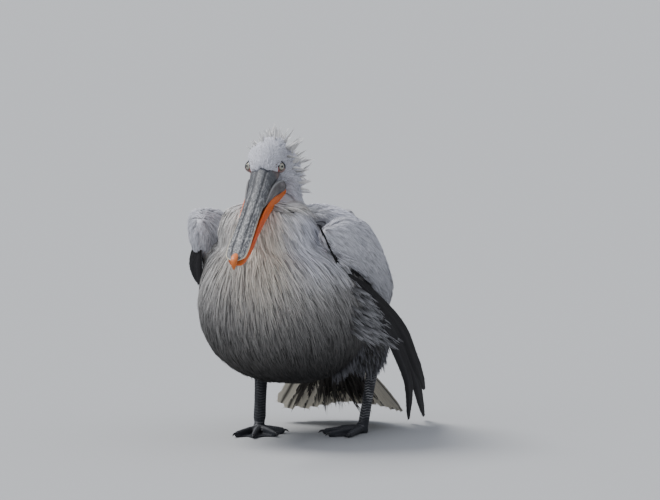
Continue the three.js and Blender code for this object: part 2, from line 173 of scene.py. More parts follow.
soft_lamp("key_light", (-1.7, 0.2, 3.2), 3.1, 30, (1.0, 0.985, 0.96))
soft_lamp("fill_light", (-0.6, -3.4, 2.4), 0.8, 60, (0.94, 0.97, 1.0))
world = bpy.data.worlds.new("room")
bpy.context.scene.world = world
world.use_nodes = True
sky = world.node_tree.nodes["Background"]
sky.inputs["Color"].default_value = (0.86, 0.9, 1.0, 1)
sky_place = node(world, "ShaderNodeTexCoord")
sky_split = node(world, "ShaderNodeSeparateXYZ")
sky_glow = node(world, "ShaderNodeMapRange", To_Min=0.16, To_Max=0.95)  # brightest overhead
link(
    world,
    (sky_place, "Generated", sky_split, "Vector"),
    (sky_split, "Z", sky_glow, "Value"),
    (sky_glow, "Result", sky, "Strength"),
)

# ---- skin ----------------------------------------------------------------------------------
# One hide under all the plumage, from the face to the thighs. It follows the solids' outer form,
# rounded, and lies inside them by the depth of the coat. It has the coat's markings, darkened as
# painted shade deep in the coat.

FLESH = ["head", "eye_left", "eye_right", "neck_upper", "neck_lower", "trunk"]
LIMBS = ["thigh_left", "thigh_right"]
SHOULDERS = ["scapulars_left", "scapulars_right"]
WINGS = ["wing_left", "wing_right"]
HEAD_AT = np.array([-12.0, -193.0, 580.0])
HEAD_YAW, HEAD_PITCH = np.radians(16.0), np.radians(22.5)
HEAD_TURN = np.array(Matrix.Rotation(HEAD_YAW, 3, "Z") @ Matrix.Rotation(HEAD_PITCH, 3, "X"))


def from_head(places):
    """Places of the head's own plan, whose origin is between the eyes and whose bill points to -Y."""
    return np.asarray(places, float) @ HEAD_TURN.T + HEAD_AT


def to_head(places):
    return (np.asarray(places, float) - HEAD_AT) @ HEAD_TURN


def unit(v):
    return v / np.maximum(np.linalg.norm(v, axis=-1, keepdims=True), 1e-9)


def mix(under, over, share):
    """The colour or place under, drawn towards over by a share."""
    return under + (over - under) * share


def step(low, high, x):
    """0 below low, 1 above high, smooth between."""
    f = np.clip((x - low) / (high - low), 0, 1)
    return f * f * (3 - 2 * f)


class Form:
    """The rounded outer form of some of the solids, in the plans' millimetres."""

    def __init__(self, names, voxel, rounding, reshape=None):
        joined = bpy.data.meshes.new("form")
        vertices, faces = [], []
        for name in names:
            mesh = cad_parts[name].data
            mesh.calc_loop_triangles()
            start = len(vertices)
            vertices += [v.co + v.normal * 0.0006 for v in mesh.vertices]
            faces += [[start + i for i in t.vertices] for t in mesh.loop_triangles]
        joined.from_pydata(vertices, [], faces)
        helper = bpy.data.objects.new("form", joined)
        bpy.context.scene.collection.objects.link(helper)
        remesh = helper.modifiers.new("remesh", "REMESH")
        remesh.mode = "VOXEL"
        remesh.voxel_size = voxel / 1000
        relax = helper.modifiers.new("relax", "SMOOTH")
        relax.factor = 0.5
        relax.iterations = rounding
        shown = helper.evaluated_get(bpy.context.evaluated_depsgraph_get())
        mesh = shown.to_mesh()
        self.places = np.zeros(len(mesh.vertices) * 3, np.float32)
        mesh.vertices.foreach_get("co", self.places)
        self.places = self.places.reshape(-1, 3).astype(float) * 1000 + GROUND_MIDDLE
        self.quads = np.array([p.vertices[:] for p in mesh.polygons if len(p.vertices) == 4])
        shown.to_mesh_clear()
        bpy.data.objects.remove(helper)
        bpy.data.meshes.remove(joined)
        if reshape:
            self.places = reshape(self.places)
        self.tree = BVHTree.FromPolygons(self.places.tolist(), self.quads.tolist())
        corners = self.places[self.quads]
        self.middles = corners.mean(1)
        facing = np.cross(corners[:, 2] - corners[:, 0], corners[:, 3] - corners[:, 1])
        self.areas = np.linalg.norm(facing, axis=1) / 2
        self.normals = np.zeros(self.places.shape)
        for corner in range(4):
            np.add.at(self.normals, self.quads[:, corner], facing)
        self.normals = unit(self.normals)
        self.face_normals = unit(self.normals[self.quads].mean(1))

    def nearest(self, places):
        """For each place, the nearest one on the form, and the form's normal there."""
        found = [self.tree.find_nearest(p) for p in places.tolist()]
        faces = np.array([f[2] for f in found])
        return np.array([f[0][:] for f in found]), self.face_normals[faces]

    def scatter(self, spacing, seed, keep):
        """Roots spread over the form about spacing apart, with the normals there."""
        rng = np.random.default_rng(seed)
        share = self.areas * keep(self.middles)
        count = int(3.0 * share.sum() / spacing**2)
        face = rng.choice(len(share), count, p=share / share.sum())
        a, b = rng.random((2, count, 1))
        c = self.places[self.quads[face]]
        spots = (c[:, 0] * (1 - a) + c[:, 1] * a) * (1 - b) + (c[:, 3] * (1 - a) + c[:, 2] * a) * b
        cell = np.floor((spots + rng.random(3) * spacing) / (spacing * 0.9)).astype(int)
        _, first = np.unique(cell, axis=0, return_index=True)
        return spots[first], self.face_normals[face[first]]


# The bones of the lower bill, from the gape forward, in the head's own plan.
RAMUS = [
    [37.5, 4, -62], [32, -60, -45], [26, -135, -33], [22.5, -230, -26], [22, -322, -23], [15, -385, -22.5],
    [2, -404, -22],
]


def shape_face(places):
    """Draws in the cheeks behind the gape and the neck's left side, and leans the crown over."""
    q = to_head(places)
    near = step(130, 90, np.linalg.norm(places - HEAD_AT, axis=1))
    bone = np.array(RAMUS[:4], float)[::-1]
    rail_x, rail_z = (np.interp(q[:, 1], bone[:, 1], bone[:, k]) for k in (0, 2))
    band = step(rail_z - 42, rail_z - 30, q[:, 2]) * step(rail_z + 26, rail_z + 16, q[:, 2])
    band = band * step(18, 6, q[:, 1]) * near
    wide = np.maximum(np.abs(q[:, 0]) - (rail_x - 3.5), 0)
    q[:, 0] -= np.sign(q[:, 0]) * wide * band
    lean = 14.0 * step(0, 48, q[:, 2]) - 0.1 * np.minimum(q[:, 0], 0) * step(10, 40, q[:, 2])
    q[:, 0] += lean * near
    q[:, 2] -= 4.0 * step(0, -28, q[:, 0]) * step(12, 45, q[:, 2]) * near
    shaped = from_head(q)
    neck = step(470, 500, shaped[:, 2]) * step(560, 525, shaped[:, 2])
    shaped[:, 0] -= 8.0 * neck * step(0, 40, shaped[:, 0])
    return shaped


body = Form(FLESH + LIMBS + SHOULDERS, 5.0, 14, shape_face)
wings = {side: Form([f"wing_{side}"], 5.0, 10) for side in ("left", "right")}
whole = Form(FLESH + LIMBS + SHOULDERS + WINGS, 5.0, 14, shape_face)

SIDES = {"left": 1.0, "right": -1.0}
MIDDLE_X = -6.0
WING_SHIFT = {"left": np.array([0.0, 0, 0]), "right": np.array([-4.0, -32, 2])}


def mirrored(places, side):
    """Places of the left side's plan, or their mirror images about the bird's middle."""
    places = np.array(places, float)
    places[..., 0] = MIDDLE_X + side * (places[..., 0] - MIDDLE_X)
    return places


# The lower front edges of the wings on the left side's plan, where the flank's plumes lap over.
WING_BACK_EDGE = [[147, -141, 357], [150, -112, 336], [151, -61, 299], [143, 35, 264], [132, 75, 235]]
WING_FRONT = [[118, -238], [131, -213], [137, -205], [141, -170]]
WING_FRONT_HEIGHTS = {"left": [452, 438, 419, 387], "right": [376, 374, 372, 366]}
WING_EDGE = {
    name: np.array([spot + [z] for spot, z in zip(WING_FRONT, heights)] + WING_BACK_EDGE, float)
    for name, heights in WING_FRONT_HEIGHTS.items()
}


def on_wing(p, reach=7.0):
    """1 where a wing's own coverts cover the bird, 0 elsewhere."""
    covered = np.zeros(len(p))
    for name, wing in wings.items():
        spot, _ = wing.nearest(p)
        near = step(reach + 3, reach - 3, np.linalg.norm(p - spot, axis=1))
        q = p - WING_SHIFT[name]
        edge = np.interp(q[:, 1], WING_EDGE[name][:, 1], WING_EDGE[name][:, 2])
        covered = np.maximum(covered, near * step(edge - 5, edge + 5, q[:, 2]))
    return covered


def coat_depth(p):
    """How far the skin lies inside the solids' form: least under the tight coverts and on the head."""
    on_head = 1 - step(95, 150, np.linalg.norm(p - HEAD_AT, axis=1))
    depth = 9.0 - 6.5 * on_head - 3.0 * step(470, 520, p[:, 2]) * (1 - on_head)
    return mix(depth, 3.2, on_wing(p))


WHITE = np.array([0.80, 0.805, 0.875])
CREAM = np.array([0.80, 0.755, 0.65])
WING_SILVER = np.array([0.66, 0.665, 0.715])
BACK_GREY = np.array([0.50, 0.50, 0.53])
# The coat's ground colour at heights over the ground, from the dark belly to the pale throat: the
# greyer underparts, darkened further by painted shade on the underside.
COAT_HEIGHTS = [110, 160, 215, 280, 350, 430, 500]
COAT_TONES_WITH_SHADE = [0.03, 0.04, 0.08, 0.19, 0.37, 0.60, 0.76]
COAT_WARMTH = np.array([1.0, 0.975, 0.955])


def plumage_colour(p):
    """The colour of the coat at places of the body: white head and neck, cream breast, grey below, darkened
    further there by painted shade.
    """
    p = np.asarray(p, float)
    x, y, z = p[:, 0:1], p[:, 1:2], p[:, 2:3]
    # Darker down the body: the greyer underparts, and below them painted shade on the underside.
    ground = np.interp(z, COAT_HEIGHTS, COAT_TONES_WITH_SHADE) * COAT_WARMTH
    thigh = step(200, 160, z) * step(60, 80, np.abs(x + 4)) * step(-80, -40, y)
    ground = mix(ground, 0.15, thigh)
    behind = step(-60, 60, y) * step(200, 260, z)
    ground = mix(ground, BACK_GREY, behind * 0.7)
    cream = step(-90, -200, y) * np.exp(-(((x - 28) / 62) ** 2) - ((z - 430) / 75) ** 2)
    ground = mix(ground, CREAM, np.clip(cream, 0, 0.9))
    white = np.maximum(step(488, 520, z), step(350, 430, z) * step(60, 110, x - 0.1 * y))
    white = np.maximum(white, step(-160, -80, y) * step(400, 450, z))
    return mix(ground, WHITE, white)


def wing_colour_with_shade(p):
    """The colour of the wings' coverts, darker lower down as painted shade."""
    return WING_SILVER * (0.74 + 0.32 * step(300, 450, p[:, 2:3]))


def plain(colour):
    """A colour for every place, where a coat asks for the colour of each."""
    return lambda p: np.broadcast_to(colour, p.shape)


def paint(made, colours):
    """Keeps a colour for each vertex, which the materials read as their ground colour."""
    layer = made.data.color_attributes.new("tint", "FLOAT_COLOR", "POINT")
    layer.data.foreach_set("color", np.c_[colours, np.ones(len(colours))].astype(np.float32).ravel())


def shade_by(made, shader, pattern, low, high, strength=0.0, depth=0.0):
    """Makes the ground colour the mesh's tint, shaded from low to high and embossed by a pattern."""
    tint = node(made, "ShaderNodeAttribute", attribute_name="tint")
    value = node(made, "ShaderNodeMapRange", To_Min=low, To_Max=high)
    shade = node(made, "ShaderNodeVectorMath", operation="MULTIPLY")
    link(
        made,
        (pattern, "Fac", value, "Value"),
        (tint, "Color", shade, 0),
        (value, "Result", shade, 1),
        (shade, "Vector", shader, "Base Color"),
    )
    if strength:
        emboss = node(made, "ShaderNodeBump", Strength=strength, Distance=depth)
        link(made, (pattern, "Fac", emboss, "Height"), (emboss, "Normal", shader, "Normal"))


def tinted(name, roughness, scale, depth, contrast, specular=0.3, coat=0.0, stretch=(1, 1, 1),
           turn=(0, 0, 0)):
    """A material whose ground colour is the mesh's tint, broken up and embossed by fine noise."""
    made, shader = material(name, roughness, specular, coat)
    place = node(made, "ShaderNodeTexCoord")
    stretched = node(made, "ShaderNodeMapping", Scale=stretch, Rotation=turn)
    grain = node(made, "ShaderNodeTexNoise", Scale=scale, Detail=6.0, Roughness=0.6)
    link(made, (place, "Object", stretched, "Vector"), (stretched, "Vector", grain, "Vector"))
    shade_by(made, shader, grain, 1 - contrast, 1 + contrast, 0.5, depth)
    return made


skin_finish = tinted("skin", 0.8, 220.0, 0.0008, 0.15)
inside = whole.places - whole.normals * coat_depth(whole.places)[:, None]
skin = quad_mesh("skin", at(inside), whole.quads, skin_finish)
near_head = step(150, 90, np.linalg.norm(inside - HEAD_AT, axis=1))
# Painted shade: the skin is kept far darker than the coat, least by the head and over the shoulders, and
# under the coverts it is the wing's colour darkened.
deep_coat_shade = 0.25 + 0.55 * np.maximum(near_head, step(400, 450, inside[:, 2]))
winged = on_wing(whole.places)[:, None]
skin_tint = plumage_colour(inside) * deep_coat_shade[:, None]
paint(skin, mix(skin_tint, wing_colour_with_shade(inside) * 0.8, winged))
bpy.context.view_layer.objects.active = skin
skin.select_set(True)
bpy.ops.object.mode_set(mode="EDIT")
bpy.ops.mesh.select_all(action="SELECT")
bpy.ops.uv.smart_project(angle_limit=1.15, island_margin=0.002)
bpy.ops.object.mode_set(mode="OBJECT")
skin.select_set(False)
skin.data.uv_layers[0].name = "unwrap"
corner_uv = np.zeros(len(skin.data.loops) * 2, np.float32)
skin.data.uv_layers[0].data.foreach_get("uv", corner_uv)
corner_uv = corner_uv.reshape(-1, 4, 2)
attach(skin, "root")
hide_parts(*FLESH[:1], *FLESH[3:], *LIMBS, *SHOULDERS, *WINGS)

# ---- coat of the body ----------------------------------------------------------------------
# Long lanceolate plumes on the breast, flanks and belly, short soft ones on the head and neck.
# Each lock is a slim blade with loose strands that draw together at its tip, over the skin.

THROAT = np.array([-8.0, -230.0, 600.0])
LOCK_ROWS = 6
COAT_LIMIT = 95000  # quads in one piece of the coat
PATCH = 0.003  # of the unwrap that one lock or feather takes up

skin_tree = BVHTree.FromPolygons(inside.tolist(), whole.quads.tolist())


def unwrap_place(places):
    """Where places over the skin lie on the skin's own unwrap."""
    found = [skin_tree.find_nearest(p) for p in places.tolist()]
    quad = np.array([f[2] for f in found])
    on_skin = np.array([f[0][:] for f in found])
    corners = inside[whole.quads[quad]]
    near = 1 / (np.linalg.norm(corners - on_skin[:, None], axis=2) + 0.2) ** 2
    return (corner_uv[quad] * near[..., None]).sum(1) / near.sum(1)[:, None]


def lie(p):
    """Which way the coat lies: back over the head, down the neck, fanning over the body to the tail."""
    fan = unit(p - THROAT) + np.array([0.0, 0.35, 0.0])
    on_head = (1 - step(50, 120, np.linalg.norm(p - HEAD_AT, axis=1)))[:, None]
    on_neck = step(450, 520, p[:, 2:3]) * (1 - on_head)
    back = HEAD_TURN @ np.array([0.0, 1.0, -0.15])
    down = np.array([0.0, 0.25, -1.0])
    on_leg = step(170, 120, p[:, 2:3]) * step(60, 80, np.abs(p[:, 0:1] + 4)) * step(-80, -40, p[:, 1:2])
    way = fan * (1 - on_head) * (1 - on_neck) + back * on_head + down * on_neck
    return mix(way, down, on_leg)


def trace(form, roots, length, rows, way, free=0.0):
    """Guides over the form from the roots: their places and normals, rows to each guide.

    free is how far the tips leave the form to go straight on, for a lock of each root.
    """
    step_length = (np.asarray(length) * np.ones(len(roots)) / (rows - 1))[:, None]
    free = np.asarray(free) * np.ones(len(roots))
    place, up = form.nearest(roots)
    places, ups = [place], [up]
    heading = None
    for row in range(1, rows):
        turn = way(place)
        turn = unit(turn - up * (turn * up).sum(1, keepdims=True))
        heading = turn if heading is None else unit(heading + 1.5 * turn)
        ahead = place + heading * step_length
        bound, bound_up = form.nearest(ahead)
        loose = (free * row / (rows - 1))[:, None]
        place = bound * (1 - loose) + ahead * loose
        up = unit(bound_up * (1 - loose) + up * loose)
        places.append(place)
        ups.append(up)
    return np.stack(places, 1), np.stack(ups, 1)


RIDGE = 0.25


def ribbons(spines, sides, ups, half_widths, tints):
    """Strips with a raised middle along spines: places, tints and vane places of n x rows x 3."""
    u = np.array([-1.0, 0.0, 1.0])[:, None]
    reach = half_widths[..., None, None]
    places = spines[..., None, :] + sides[..., None, :] * u * reach
    places = places + ups[..., None, :] * (1 - np.abs(u)) * reach * RIDGE
    n, rows = half_widths.shape
    s = np.broadcast_to(np.linspace(0, 1, rows)[None, :, None], (n, rows, 3))
    c = np.broadcast_to(u[:, 0], (n, rows, 3))
    return {"places": places, "tints": tints, "along": s, "across": c}


def thin_ribbons(spines, sides, half_widths, tints):
    """Flat strips with two edges, for strands too fine to have a middle."""
    u = np.array([-1.0, 1.0])[:, None]
    places = spines[..., None, :] + sides[..., None, :] * u * half_widths[..., None, None]
    n, rows = half_widths.shape
    s = np.broadcast_to(np.linspace(0, 1, rows)[None, :, None], (n, rows, 2))
    c = np.broadcast_to(u[:, 0], (n, rows, 2))
    colours = np.broadcast_to(tints[..., None, :], (n, rows, 2, 3))
    return {"places": places, "tints": colours, "along": s, "across": c}


def coat_pieces(name, batches, finish):
    """Joins batches of strips into as few pieces as the limit allows, with their bake patches."""
    made, waiting, held = [], [], 0

    def close():
        nonlocal waiting, held
        places, tints, uvs, vanes, quads, start = [], [], [], [], [], 0
        for batch in waiting:
            n, rows, columns = batch["along"].shape
            grid = grid_quads(rows, columns)
            first = np.arange(n)[:, None, None] * rows * columns
            quads.append((grid[None] + first + start).reshape(-1, 4))
            start += n * rows * columns
            places.append(batch["places"].reshape(-1, 3))
            tints.append(batch["tints"].reshape(-1, 3))
            spot = np.stack([batch["across"] / 2, batch["along"] - 0.5], -1) * PATCH
            uvs.append((spot + batch["uv"][:, None, None]).reshape(-1, 2))
            seed = np.broadcast_to(batch["seed"][:, None, None], batch["along"].shape)
            vanes.append(np.stack([batch["across"], batch["along"], seed], -1).reshape(-1, 3))
        quads = np.concatenate(quads)
        piece = quad_mesh(f"{name}_{len(made) + 1}", at(np.concatenate(places)), quads, finish)
        paint(piece, np.concatenate(tints))
        vane = piece.data.attributes.new("vane", "FLOAT_VECTOR", "POINT")
        vane.data.foreach_set("vector", np.concatenate(vanes).astype(np.float32).ravel())
        layer = piece.data.uv_layers.new(name="OFBake")
        layer.data.foreach_set("uv", np.concatenate(uvs)[quads.ravel()].astype(np.float32).ravel())
        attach(piece, "root")
        made.append(piece)
        waiting, held = [], 0

    for batch in batches:
        n, rows, columns = batch["along"].shape
        each = (rows - 1) * (columns - 1)
        done = 0
        while done < n:
            take = min(n - done, (COAT_LIMIT - held) // each)
            if take > 0:
                waiting.append({key: value[done:done + take] for key, value in batch.items()})
                held += take * each
                done += take
            if done < n:
                close()
    if waiting:
        close()
    return made


BLADE = np.array([0.45, 0.9, 1.0, 0.85, 0.55, 0.06])
STRAND = np.array([0.8, 1.0, 1.0, 0.8, 0.5, 0.08])


def locks(form, roots, length, radius, rng, strands=12, width=0.9, lift=4.0, sink=3.0, gather=0.7,
          curl=0.0, free=0.0, shade=(0.5, 1.05), way=lie, blade=0.8, colour=plumage_colour, sides_dark=0.3):
    """Locks of plumes at the roots: a blade in each, and strands that draw together at its tip.

    shade is how light they are at root and tip, the darker roots being painted shade under the locks
    that lap over them, and sides_dark how much darker along their sides, as painted shade between
    locks.
    """
    n, rows = len(roots), LOCK_ROWS
    spread = np.ones(n)
    length, radius, lift, curl = (np.asarray(v) * spread for v in (length, radius, lift, curl))
    length = length * rng.uniform(0.8, 1.15, n)
    guides, ups = trace(form, roots, length, rows, way, free)
    heads = unit(np.gradient(guides, axis=1))
    sides = unit(np.cross(heads, ups))
    s = np.linspace(0, 1, rows)
    bend = curl * rng.normal(0, 1, n)
    guides = guides + sides * (bend[:, None] * s**2)[..., None]
    ground = colour(guides[:, 0])
    root_shade, tip_shade = ((np.asarray(v) * spread)[:, None] for v in shade)
    fade = root_shade + (tip_shade - root_shade) * s**0.7
    uv, seed = unwrap_place(guides[:, 0]), rng.random(n)
    batches = []
    height = -sink + (lift[:, None] + sink) * s**0.8
    if blade:
        # The blade is painted darker than its strands, as painted shade under them.
        tints = ground[:, None] * (fade * 0.8)[:, :, None]
        edges = 1 - np.asarray(sides_dark).reshape(-1, 1, 1, 1) * np.array([1.0, 0.0, 1.0])[:, None]
        tints = tints[:, :, None] * edges
        spines = guides + ups * (height - 0.8)[..., None]
        batch = ribbons(spines, sides, ups, radius[:, None] * blade * BLADE, tints)
        batches.append(batch | {"uv": uv, "seed": seed})
    m = strands
    reach = rng.uniform(0.55, 1.05, (n, m, 1)) * s * (rows - 1)
    low = np.minimum(reach.astype(int), rows - 2)
    part = (reach - low)[..., None]
    which = np.arange(n)[:, None, None]
    spine = guides[which, low] * (1 - part) + guides[which, low + 1] * part
    up = ups[which, low]
    side = sides[which, low]
    head = heads[which, low]
    lane = rng.uniform(-1, 1, (n, m, 1))
    offset = lane * radius[:, None, None] * (1 - gather * s**1.4)
    wave = rng.normal(0, 0.06, (n, m, 1)) * length[:, None, None] * s**2
    rise = np.interp(reach / (rows - 1), s, np.linspace(0, 1, rows)) ** 0.8
    rise = -sink + (lift[:, None, None] + sink) * rise + rng.uniform(-1.0, 1.0, (n, m, 1)) * (0.3 + 0.7 * s)
    arch = (1 - lane**2) * radius[:, None, None] * 0.3
    spine = spine + side * (offset + wave)[..., None] + up * (rise + arch)[..., None]
    roll = rng.normal(0, 0.35, (n, m, 1, 1))
    across = unit(side * np.cos(roll) + up * np.sin(roll))
    # Strands are painted darker towards the lock's sides, as painted shade between locks.
    tone = rng.uniform(0.85, 1.12, (n, m, 1)) * (1 - sides_dark * lane**2)
    tints = ground[:, None, None] * (fade[:, None] * tone)[..., None]
    widths = width * STRAND * rng.uniform(0.7, 1.2, (n, m, 1))
    batch = thin_ribbons(
        spine.reshape(n * m, rows, 3), across.reshape(n * m, rows, 3),
        widths.reshape(n * m, rows), tints.reshape(n * m, rows, 3),
    )
    batches.append(batch | {"uv": np.repeat(uv, m, 0), "seed": np.repeat(seed, m)})
    return batches


plume_finish = tinted("plumes", 0.7, 900.0, 0.0004, 0.10, specular=0.15)

rng = np.random.default_rng(41)
under_roots, _ = whole.scatter(13.0, 4, lambda p: step(515, 470, p[:, 2]))
under_roots = under_roots[on_wing(under_roots) < 0.5]
breast_roots, _ = whole.scatter(10.5, 5, lambda p: step(515, 470, p[:, 2]))
breast_roots = breast_roots[on_wing(breast_roots) < 0.5]


def bare_face(p):
    """1 on the bare skin round the eyes and before them, and where horn or gape plates lie."""
    q = to_head(p)
    q[:, 0] = np.abs(q[:, 0])
    off = (q - [32, -4, -6]) * [0.6, 1, 1]
    reach = np.linalg.norm(off, axis=1)
    orbit = reach < 11.5 + 4.5 * step(0, 0.8, (0.6 * off[:, 2] - 0.8 * off[:, 1]) / np.maximum(reach, 1e-6))
    lore = (q[:, 1] < -14) & (q[:, 0] > 17 + 0.25 * (q[:, 1] + 40)) & (q[:, 2] < 2)
    lore = lore | ((q[:, 1] < -4) & (q[:, 1] > -34) & (q[:, 0] > 20) & (q[:, 2] < 7 + 0.15 * (q[:, 1] + 15)))
    bone = np.array(RAMUS[:4], float)[::-1]
    rail_z = np.interp(q[:, 1], bone[:, 1], bone[:, 2])
    gape = (q[:, 1] < 8) & (q[:, 0] > 22) & (q[:, 2] > rail_z - 24) & (q[:, 2] < rail_z + 20)
    return (orbit | lore | gape) & (q[:, 1] < 12)


neck_roots, _ = body.scatter(
    7.5, 6,
    lambda p: step(440, 500, p[:, 2]) * step(62, 80, np.linalg.norm(p - HEAD_AT, axis=1)) * ~bare_face(p),
)


def on_skull(p):
    """Where the head has its short down: behind the horn's edge, and off the bare face."""
    q = to_head(p)
    brow = -40 - 7 * np.exp(-(((np.abs(q[:, 0]) - 11) / 5) ** 2)) + 9 * step(14, 26, np.abs(q[:, 0]))
    near = np.linalg.norm(p - HEAD_AT, axis=1) < 88
    return near & ((q[:, 1] > brow) | (q[:, 2] < -32)) & ~bare_face(p)


head_roots, _ = body.scatter(3.4, 7, on_skull)


def breast_length(p):
    """Long on breast and belly, shorter up at the throat and down on the legs."""
    high = step(400, 500, p[:, 2])
    leg = step(170, 110, p[:, 2]) * step(55, 75, np.abs(p[:, 0] + 4)) * step(-80, -30, p[:, 1])
    return (68 - 30 * high) * (1 - 0.6 * leg)


def boldness(p):
    """1 where long pale plumes stand apart over an underlayer painted dark as the shade between them, 0 on
    throat and lower belly.
    """
    return step(482, 400, p[:, 2]) * step(140, 230, p[:, 2])


def shoulder_lift(p):
    """How far the plumes stand off where they bridge the hollow between shoulder and wing."""
    return 9.0 * np.exp(-((np.linalg.norm((p - [-6, -145, 452]) * [0, 1, 1], axis=1) / 32) ** 2)
                        - ((np.abs(p[:, 0] + 6) - 60) / 24) ** 2)


bold = boldness(breast_roots)
flank = step(60, 130, np.abs(breast_roots[:, 0] - MIDDLE_X)) * step(-120, -20, breast_roots[:, 1])
# The underlayer is painted dark, most where the plumes are bold, as painted shade between the long plumes.
under_coat = locks(
    whole, under_roots, 0.8 * breast_length(under_roots), 11.0, rng, strands=6, width=1.4,
    lift=shoulder_lift(under_roots), sink=5.0, gather=0.3, blade=0.9,
    shade=(0.75 - 0.5 * boldness(under_roots), 0.5 + 0.2 * step(380, 450, under_roots[:, 2])),
)
over_coat = locks(
    whole, breast_roots, (1.0 + 0.3 * bold) * breast_length(breast_roots), 4.6 - 0.7 * bold, rng,
    strands=5, width=1.0, lift=1.5 + 1.5 * bold + shoulder_lift(breast_roots), sink=2.5, gather=0.85,
    curl=3.5, free=0.08 + 0.3 * flank, shade=(0.74 - 0.32 * bold, 1.2),
    sides_dark=0.12 + 0.43 * bold[:, None, None],
)
neck_coat = locks(
    body, neck_roots, 26.0, 4.4, rng, strands=7, width=0.75, lift=2.5, sink=2.5, gather=0.75, curl=3.5,
    shade=(0.6, 1.06),
)
head_coat = locks(
    body, head_roots, 9.0, 2.4, rng, strands=5, width=0.46, lift=0.8, sink=1.6, gather=0.4, curl=0.5,
    shade=(0.75, 1.03),
)
coat_pieces("body_plumes", under_coat + over_coat, plume_finish)
coat_pieces("neck_plumes", neck_coat, plume_finish)
coat_pieces("head_down", head_coat, plume_finish)

# ---- crest ---------------------------------------------------------------------------------
# Curled wisps, each a few loose plumes that cling together, from the crown down the nape.

CREST_SPACING = 14.5
crest_roots, crest_normals = body.scatter(
    CREST_SPACING, 11,
    lambda p: (to_head(p)[:, 1] > 22) * step(500, 530, p[:, 2]) * step(-205, -165, p[:, 1]) + 1e-6,
)
picked = (to_head(crest_roots)[:, 1] > 24) & (crest_roots[:, 1] > -200) & (crest_roots[:, 2] > 505)
crest_roots, crest_normals = crest_roots[picked], crest_normals[picked]


WISP_ROWS = 7


def wisps(roots, heads, ups, length, rng, strands=4, width=0.9, radius=2.6, gather=0.85, curl=0.16,
          tints=(0.5, 1.0), pale=0.6, colour=plumage_colour):
    """Loose plumes that stand out from the roots along heads and curl over to one side."""
    n, m, rows = len(roots), strands, WISP_ROWS
    s = np.linspace(0, 1, rows)
    side = unit(np.cross(heads, ups + rng.normal(0, 0.4, (n, 3))))
    lifted = unit(np.cross(side, heads))
    sway = rng.normal(0, curl, (n, 1, 1)) + rng.normal(0, curl * 0.22, (n, m, 1))
    droop = rng.normal(-0.02, curl * 0.7, (n, 1, 1))
    reach = np.broadcast_to(np.asarray(length), (n,))[:, None, None] * rng.uniform(0.7, 1.05, (n, m, 1))
    turn = rng.uniform(0, 2 * np.pi, (n, m, 1))
    ring = radius * rng.uniform(0.3, 1, (n, m, 1)) * (1 - gather * s**0.8)
    kink = np.sin(s * rng.uniform(2.5, 5.0, (n, m, 1)) + turn) * s * 0.035
    a = reach * (sway * s**2 + kink) + ring * np.cos(turn)
    b = reach * droop * s**2 + ring * np.sin(turn)
    spine = roots[:, None, None] + heads[:, None, None] * (reach * s)[..., None]
    spine = spine + side[:, None, None] * a[..., None] + lifted[:, None, None] * b[..., None]
    roll = rng.uniform(0, np.pi, (n, m, 1, 1))
    across = side[:, None, None] * np.cos(roll) + lifted[:, None, None] * np.sin(roll)
    across = np.broadcast_to(across, spine.shape)
    shape = width * rng.uniform(0.7, 1.2, (n, m, 1)) * np.interp(s, [0, 0.3, 0.75, 1], [0.7, 1, 0.65, 0.05])
    ground = colour(roots)[:, None, None]
    shade = (tints[0] + (tints[1] - tints[0]) * s**pale) * rng.uniform(0.85, 1.08, (n, m, 1))
    batch = thin_ribbons(
        spine.reshape(n * m, rows, 3), across.reshape(n * m, rows, 3), shape.reshape(n * m, rows),
        (ground * shade[..., None]).reshape(n * m, rows, 3),
    )
    uv, seed = unwrap_place(roots), rng.random(n)
    return batch | {"uv": np.repeat(uv, m, 0), "seed": np.repeat(seed, m)}


high = step(560, 640, crest_roots[:, 2])
back = HEAD_TURN @ np.array([0.0, 1.0, 0.0])
crest_heads = unit(
    crest_normals + np.outer(0.35 + 0.25 * high, [0.0, 0.0, 1.0]) * high[:, None] + back * 0.25
    + rng.normal(0, 0.16, crest_normals.shape)
)
favoured = 0.35 + 0.65 * step(-30, 12, to_head(crest_roots)[:, 0])
crest_length = (25 + 2 * high) * rng.uniform(0.6, 1.3, len(high)) * favoured
crest_roots = crest_roots - crest_normals * 5
down_heads = unit(crest_heads * 0.7 + lie(crest_roots) * 0.6)
crest = coat_pieces("crest_plumes", [
    wisps(crest_roots, crest_heads, crest_normals, crest_length + 8, rng, strands=10, radius=3.4, gather=0.95,
          width=1.5, curl=0.18, tints=(0.75, 1.08), colour=plain([0.88, 0.87, 0.86])),
    wisps(crest_roots, down_heads, crest_normals, crest_length * 0.6 + 5, rng, strands=5, radius=5.0,
          gather=0.8, tints=(0.9, 1.05)),
], plume_finish)
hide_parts("crest")

# ---- quills --------------------------------------------------------------------------------
# A large feather is a stiff shaft with a domed vane to each side, whose edge is a little frayed.

QUILL_ACROSS = np.array([-1.0, -0.75, -0.4, -0.07, 0.0, 0.07, 0.4, 0.75, 1.0])
QUILL_ROWS = 22
ROUND_END = [(0, 0.25), (0.12, 0.6), (0.4, 0.95), (0.7, 1.0), (0.88, 0.86), (0.96, 0.6), (1, 0.18)]
LANCE_END = [(0, 0.3), (0.2, 0.8), (0.45, 1.0), (0.7, 0.85), (0.88, 0.5), (1, 0.03)]
WORN_END = [(0, 0.2), (0.2, 0.6), (0.5, 0.92), (0.8, 1.0), (0.93, 0.92), (1, 0.55)]


